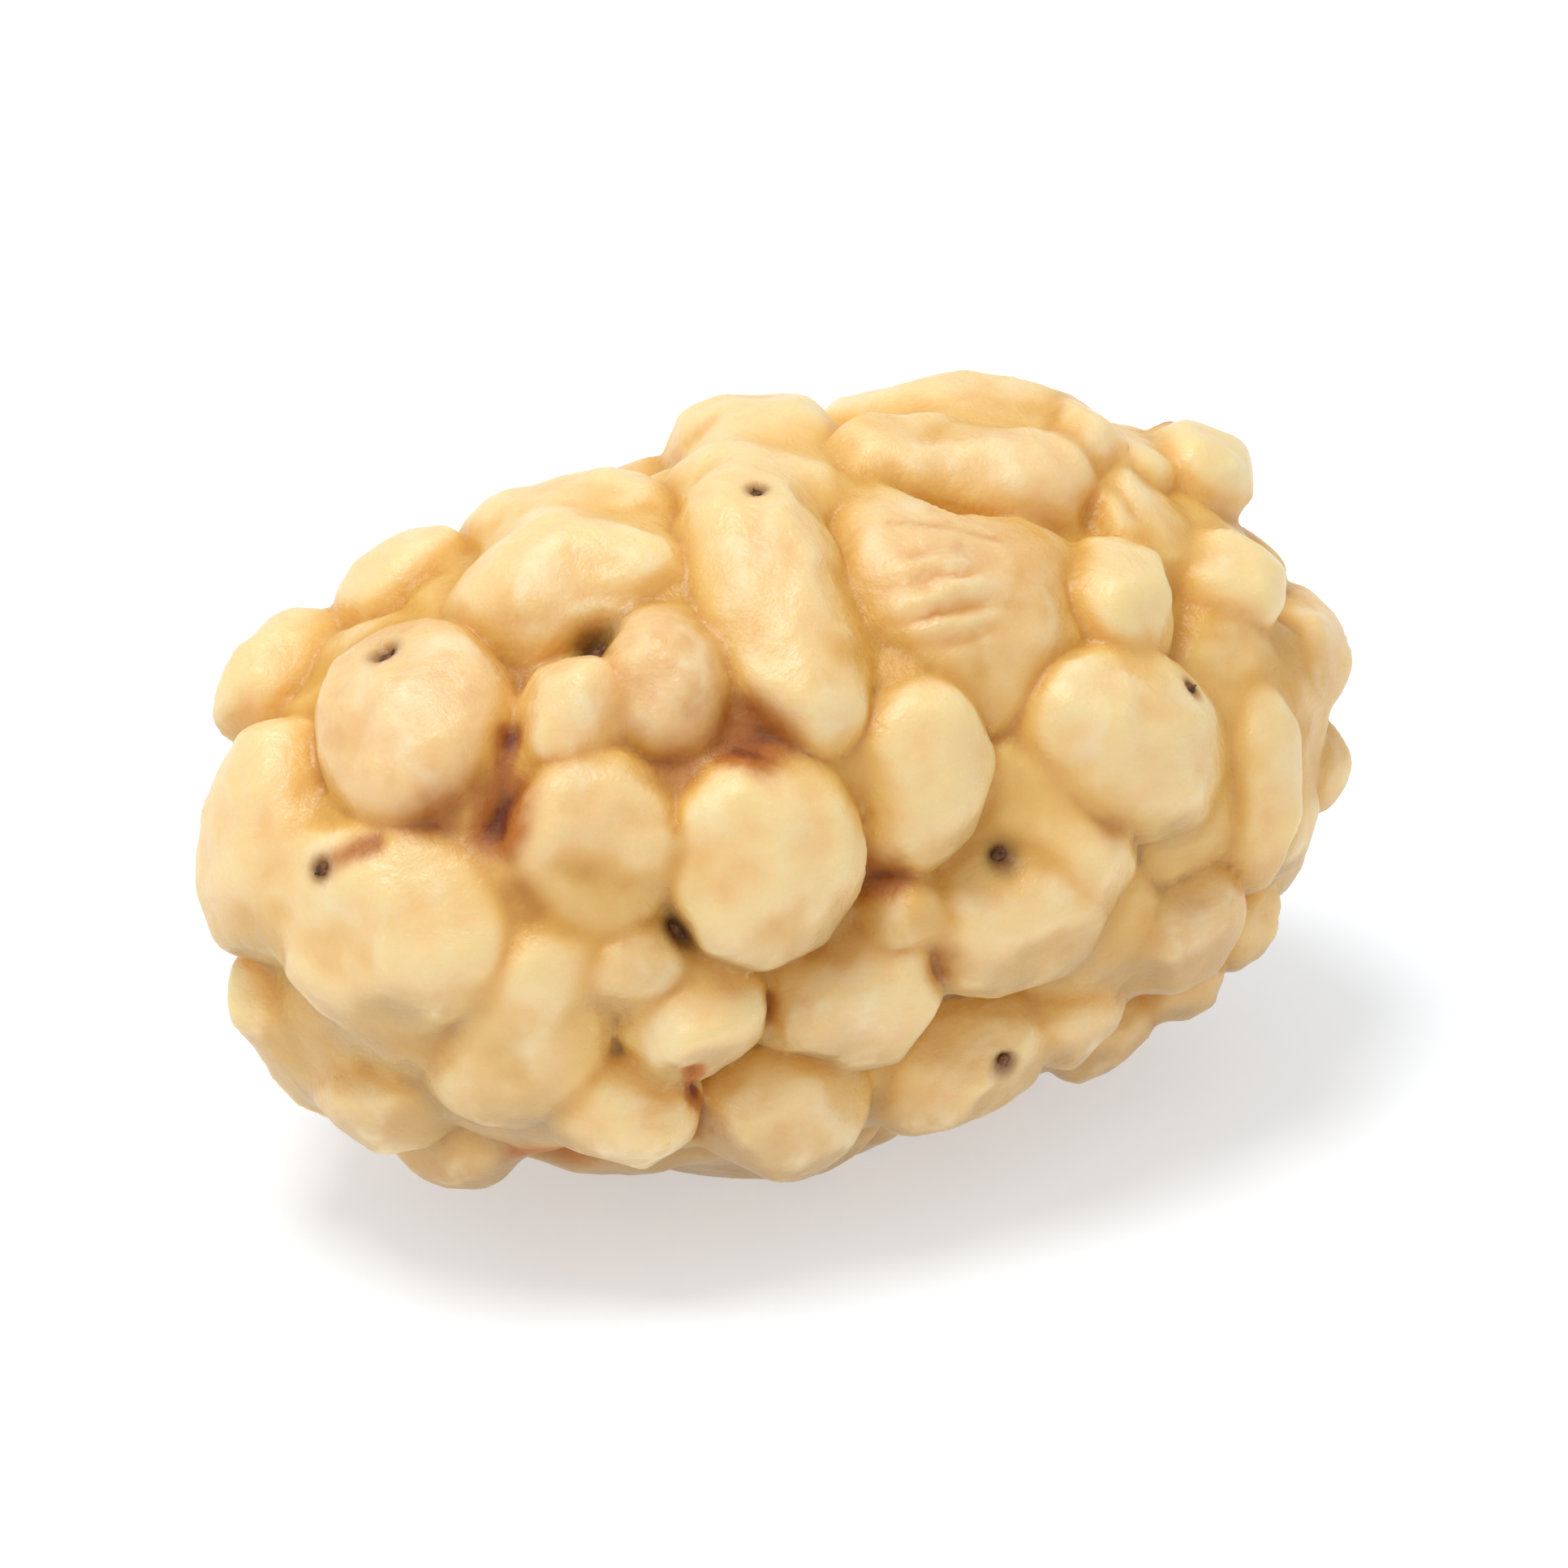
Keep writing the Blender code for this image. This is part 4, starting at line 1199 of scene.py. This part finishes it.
def marked_colour(nodes, place, blotch, shade, lit_crown, highlight_spots, rust_and_shade, dark):
    """Sugary bloom and painted highlights, rusty stains that are partly painted shade, and the dark rings of
    the stigmas.
    """
    # pale cream on the crowns is sugary bloom and painted highlight, and the listed pale spots are painted
    # highlights
    sugar_and_highlight = nodes.times(nodes.ramp(nodes.noise(place, 0.9, 3.0, 0.5, 0.3), 0.48, 0.75), lit_crown)
    highlighted = nodes.times(highlight_spots, nodes.ramp(nodes.noise(place, 0.45, 3.0), 0.40, 0.65, 0.2, 1.1))
    sugar_and_highlight = nodes.math("MAXIMUM", sugar_and_highlight, highlighted)
    shade = nodes.blend(nodes.times(sugar_and_highlight, 0.5), shade, SUGAR_AND_HIGHLIGHT)
    # rusty stains, partly painted shade in the gap under the cheek and under the feet
    stain_and_shade = nodes.times(rust_and_shade, nodes.ramp(blotch, 0.3, 0.6, 1.15, 0.80))
    shade = nodes.blend(nodes.ramp(stain_and_shade, 0.05, 0.50), shade, BURNT_AMBER_AND_SHADE)
    shade = nodes.blend(nodes.ramp(stain_and_shade, 0.45, 0.90, 0.0, 0.9), shade, RUST_AND_SHADE)
    return nodes.blend(nodes.times(dark, 0.85), shade, STIGMA_BROWN)


print("flesh in three layers: own colour, dried colour and marks")

# %% [markdown]
# ## The waxy body of the flesh
# Light goes into dried fruit and comes out again warmer, so the shader scatters it under the
# surface, red farthest and blue least. The wax gives a soft gloss that changes over the skin, and
# rusty places are duller. A fine grain in the bump does the last twentieth of a millimetre, which
# is too small to model.

# %% Flesh material
def flesh_material():
    nodes = Nodes("dried_flesh")
    place = nodes.place()
    tan, rosy, amber, highlight_spots = nodes.kept("looks")
    hollow, rust_and_shade, dark, wide = nodes.kept("marks")
    # how far the skin faces down, for the painted shade on the lower side
    lower = nodes.kept("settling")[0]
    blotch = nodes.noise(place, 0.9, 3.0, 0.55, 0.4)
    # the raised crowns, painted pale as lit tops, while the valleys get painted shade
    lit_crown = nodes.ramp(wide, 0.56, 0.34)
    shade = own_colour(nodes, place, blotch, lit_crown, tan, rosy)
    shade = dried_colour(nodes, place, blotch, shade, amber, hollow, wide, lower)
    shade = marked_colour(nodes, place, blotch, shade, lit_crown, highlight_spots, rust_and_shade, dark)
    nodes.put(nodes.shader.inputs["Base Color"], shade)
    gloss = nodes.plus(nodes.ramp(blotch, 0.3, 0.7, 0.30, 0.46), nodes.times(rust_and_shade, 0.35))
    nodes.put(nodes.shader.inputs["Roughness"], gloss)
    nodes.shader.inputs["Specular IOR Level"].default_value = 0.45
    nodes.shader.inputs["Subsurface Weight"].default_value = 0.8
    nodes.shader.inputs["Subsurface Radius"].default_value = (1.0, 0.76, 0.42)
    nodes.shader.inputs["Subsurface Scale"].default_value = 0.9 * MM
    pores = nodes.times(nodes.noise(place, 0.22, 3.0, 0.6), 1.4)
    bump = nodes.grain(nodes.plus(nodes.noise(place, 0.16, 4.0, 0.6), pores), 0.03)
    bump.inputs["Strength"].default_value = 0.9
    return nodes.material


berry.data.materials.clear()
berry.data.materials.append(flesh_material())
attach(berry, "root")
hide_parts("mulberry")
print("flesh of", len(berry.active_material.node_tree.nodes), "nodes")

# %% [markdown]
# ## Stigma stubs
# Each drupelet's flower ended in a forked stigma. On the dried fruit a dark crumpled stub of it is
# left at the bottom of the dimple. Each stub is a low knob with two short curled horns. They are a
# piece of their own, because they are dry and woody where the flesh is waxy. A ray cast down at the
# finished skin tells where each one stands.

# %% One stub
KNOB_ROUGH, KNOB_PITCH = 0.35, 1.7
KNOB_WIDTH, KNOB_HEIGHT = 0.8, 0.45
HORN_SIDES = 7
HORN_ROOT, HORN_TIP = 0.34, 0.12
HORN_BEND, HORN_CURL, HORN_SPREAD = 0.8, 1.4, 0.3
HORN_FOOT, HORN_RISE = 0.15, 0.40


def stigma_stub(bm, middle, out, size, rng):
    """A crumpled knob, and horns that lean over it."""
    turn = rng.uniform(0, math.tau)
    sideways = Matrix.Rotation(turn, 3, out) @ out.orthogonal().normalized()
    across = out.cross(sideways)
    knob = bmesh.ops.create_icosphere(bm, subdivisions=2, radius=1)["verts"]
    for vert in knob:
        rough = 1 + KNOB_ROUGH * noise.noise(vert.co * KNOB_PITCH + middle * 3)
        local = vert.co * rough * size
        vert.co = middle + sideways * local.x + across * local.y * KNOB_WIDTH + out * local.z * KNOB_HEIGHT
    for side in (1, -1):
        horn = bmesh.ops.create_cone(bm, cap_ends=True, segments=HORN_SIDES, radius1=HORN_ROOT * size,
                                     radius2=HORN_TIP * size, depth=1.0)["verts"]
        for vert in horn:
            part = vert.co.z + 0.5
            bend = sideways * (HORN_BEND * part ** HORN_CURL) + across * (HORN_SPREAD * part)
            rise = out * (HORN_FOOT + HORN_RISE * part)
            vert.co = middle + (bend * side + rise) * size + sideways * vert.co.x + across * vert.co.y


print("one stub: a knob and two horns of", HORN_SIDES, "sides")

# %% All the stubs
STUB_SEED = SEED + 11
STUB_SIZE = (0.72, 0.90)
OVER_STUB = 2


def stigma_stubs():
    rng = random.Random(STUB_SEED)
    tree = surface_tree(places, skin)
    bm = bmesh.new()
    for (place, radius), out in zip(stigmas, barrel_ways(stigma_places)):
        middle = tree.ray_cast(Vector(place + shift + out * OVER_STUB), -Vector(out))[0]
        stigma_stub(bm, middle, Vector(out), radius * rng.uniform(*STUB_SIZE), rng)
    for vert in bm.verts:
        vert.co *= MM
    mesh = bpy.data.meshes.new("stigma_stubs")
    bm.to_mesh(mesh)
    bm.free()
    mesh.shade_smooth()
    thing = bpy.data.objects.new("stigma_stubs", mesh)
    bpy.context.scene.collection.objects.link(thing)
    return thing


def stigma_material():
    nodes = Nodes("dry_stigma")
    speckle = nodes.ramp(nodes.noise(nodes.place(), 0.08, 3.0), 0.35, 0.7)
    nodes.put(nodes.shader.inputs["Base Color"], nodes.blend(speckle, STUB_DARK, STUB_LIGHT))
    nodes.shader.inputs["Roughness"].default_value = 0.75
    return nodes.material


stubs = stigma_stubs()
stubs.data.materials.append(stigma_material())
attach(stubs, "root")
print(len(stigmas), "stigma stubs,", len(stubs.data.polygons), "faces")

# %% [markdown]
# ## Where the stalk broke off
# The stalk snapped close to the berry. Its stub is a short fluted peg of woody fibre with a ragged
# end, sunk among the lobes at +X, where the solid has its plain peg. It is drawn ring by ring: the
# first rings run along the peg, and the last ones close in over its broken end. A cylinder would
# be quicker, but its end would look sawn.

# %% The stub's surface
STUB_RADIUS = 0.62
STUB_TAPER = 0.15
STUB_SINK = 0.35
STUB_ROOT = 1.0
SIDE_RINGS, END_RINGS = 10, 4
END_CLOSING = 4.5
FLUTES, FLUTE_DEPTH, FLUTE_NOISE = 9, 0.06, 0.05
RAGGED, RAGGED_PITCH = 0.13, 6
END_DISH = 0.10


def stub_point(ring, turn):
    """A point of the stub: how far along or over its end, and how far round."""
    root, end = LENGTH / 2 - CORE_DEPTH - STUB_ROOT, LENGTH / 2 - STUB_SINK
    part = min(1.0, ring / SIDE_RINGS)
    inner = 1 - max(0, ring - SIDE_RINGS) / END_CLOSING
    uneven = FLUTE_NOISE * noise.noise(Vector((3 * part, turn * 2, 4)))
    fluted = 1 + FLUTE_DEPTH * math.sin(FLUTES * turn) + uneven
    radius = STUB_RADIUS * (1 - STUB_TAPER * part) * fluted * inner
    y, z = radius * math.cos(turn), radius * math.sin(turn)
    ragged = RAGGED * noise.noise(Vector((y * RAGGED_PITCH, z * RAGGED_PITCH, 8))) if part == 1.0 else 0.0
    return root + (end - root) * part + ragged - END_DISH * (1 - inner), y, z


print("the stub ends", round(stub_point(SIDE_RINGS, 0)[0], 2), "mm from the barrel's middle")

# %% Model the stalk's stub
STUB_SIDES = 48


def stalk_stub():
    bm = bmesh.new()
    rings = [[bm.verts.new(stub_point(ring, math.tau * k / STUB_SIDES)) for k in range(STUB_SIDES)]
             for ring in range(SIDE_RINGS + END_RINGS + 1)]
    for ring, after in zip(rings, rings[1:]):
        for k in range(STUB_SIDES):
            bm.faces.new((ring[k], ring[(k + 1) % STUB_SIDES], after[(k + 1) % STUB_SIDES], after[k]))
    bm.faces.new(reversed(rings[0]))
    bm.faces.new(rings[-1])
    for vert in bm.verts:
        vert.co = (vert.co + Vector(shift)) * MM
    bmesh.ops.recalc_face_normals(bm, faces=bm.faces[:])
    mesh = bpy.data.meshes.new("stalk_stub")
    bm.to_mesh(mesh)
    bm.free()
    mesh.shade_smooth()
    thing = bpy.data.objects.new("stalk_stub", mesh)
    bpy.context.scene.collection.objects.link(thing)
    return thing


def stalk_material():
    nodes = Nodes("dry_stalk")
    fibre = nodes.noise(nodes.place(), 0.07)
    nodes.put(nodes.shader.inputs["Base Color"],
              nodes.blend(nodes.ramp(fibre, 0.35, 0.65), STALK_DARK, STALK_LIGHT))
    nodes.shader.inputs["Roughness"].default_value = 0.7
    nodes.grain(fibre, 0.012)
    return nodes.material


stalk = stalk_stub()
stalk.data.materials.append(stalk_material())
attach(stalk, "root")
print("stalk stub of", len(stalk.data.polygons), "faces")

# %% [markdown]
# ## Floor and light
# The photograph is on plain white in one broad soft light from above, a little to the left. So
# there is a pale floor that glows faintly, a bright even surround and one wide lamp. The glow and
# the surround lift the shadows, as white paper round a small thing does.

# %% Floor, lamp and surround
FLOOR_HALF = 0.6
LIGHT_FROM = Vector((-0.028, 0.01, 0.13))
LIGHT_SIZE = 0.07
LIGHT_POWER = 0.103


def floor():
    mesh = bpy.data.meshes.new("floor")
    corners = [(-FLOOR_HALF, -FLOOR_HALF, 0), (FLOOR_HALF, -FLOOR_HALF, 0),
               (FLOOR_HALF, FLOOR_HALF, 0), (-FLOOR_HALF, FLOOR_HALF, 0)]
    mesh.from_pydata(corners, [], [(0, 1, 2, 3)])
    thing = bpy.data.objects.new("floor", mesh)
    bpy.context.scene.collection.objects.link(thing)
    material = bpy.data.materials.new("white_paper")
    material.use_nodes = True
    shader = material.node_tree.nodes["Principled BSDF"]
    shader.inputs["Base Color"].default_value = (0.76, 0.77, 0.77, 1)
    shader.inputs["Roughness"].default_value = 0.8
    shader.inputs["Emission Color"].default_value = (0.82, 0.88, 0.96, 1)
    shader.inputs["Emission Strength"].default_value = 0.46
    mesh.materials.append(material)


def lamp():
    data = bpy.data.lights.new("broad_lamp", "AREA")
    data.shape = "DISK"
    data.size = LIGHT_SIZE
    data.energy = LIGHT_POWER
    thing = bpy.data.objects.new("broad_lamp", data)
    bpy.context.scene.collection.objects.link(thing)
    thing.location = LIGHT_FROM
    thing.rotation_euler = LIGHT_FROM.to_track_quat("Z", "Y").to_euler()


def surround():
    world = bpy.data.worlds.new("surround")
    world.use_nodes = True
    background = world.node_tree.nodes["Background"]
    background.inputs["Color"].default_value = (0.97, 0.98, 0.98, 1)
    background.inputs["Strength"].default_value = 0.58
    bpy.context.scene.world = world


floor()
lamp()
surround()
bpy.context.scene.view_settings.view_transform = "Standard"
print("lamp", round(LIGHT_FROM.length / MM), "mm from the berry,", round(LIGHT_SIZE / MM), "mm wide")

# %% [markdown]
# ## Camera
# The camera looks from the photograph's angle. Its lens is very long and it stands far off, so that
# near lobes aren't swollen and every line of sight runs as it did when the lobes were read.

# %% Camera
LENS = 600.0
SENSOR = 36.0
FRAME_WIDTH = 20.5
AIM_RAISED = 0.15
CLIP_START = 1 * MM


def camera():
    data = bpy.data.cameras.new("camera")
    data.lens = LENS
    data.sensor_width = SENSOR
    data.clip_start = CLIP_START
    thing = bpy.data.objects.new("camera", data)
    bpy.context.scene.collection.objects.link(thing)
    aim = (Vector(shift) + UP * AIM_RAISED) * MM
    distance = FRAME_WIDTH * MM * LENS / SENSOR
    thing.matrix_world = Matrix.Translation(aim + TOWARDS * distance) @ Matrix(
        (RIGHT, UP, TOWARDS)).transposed().to_4x4()
    bpy.context.scene.camera = thing
    return distance


print("camera", round(camera() / MM), "mm away")

# %% [markdown]
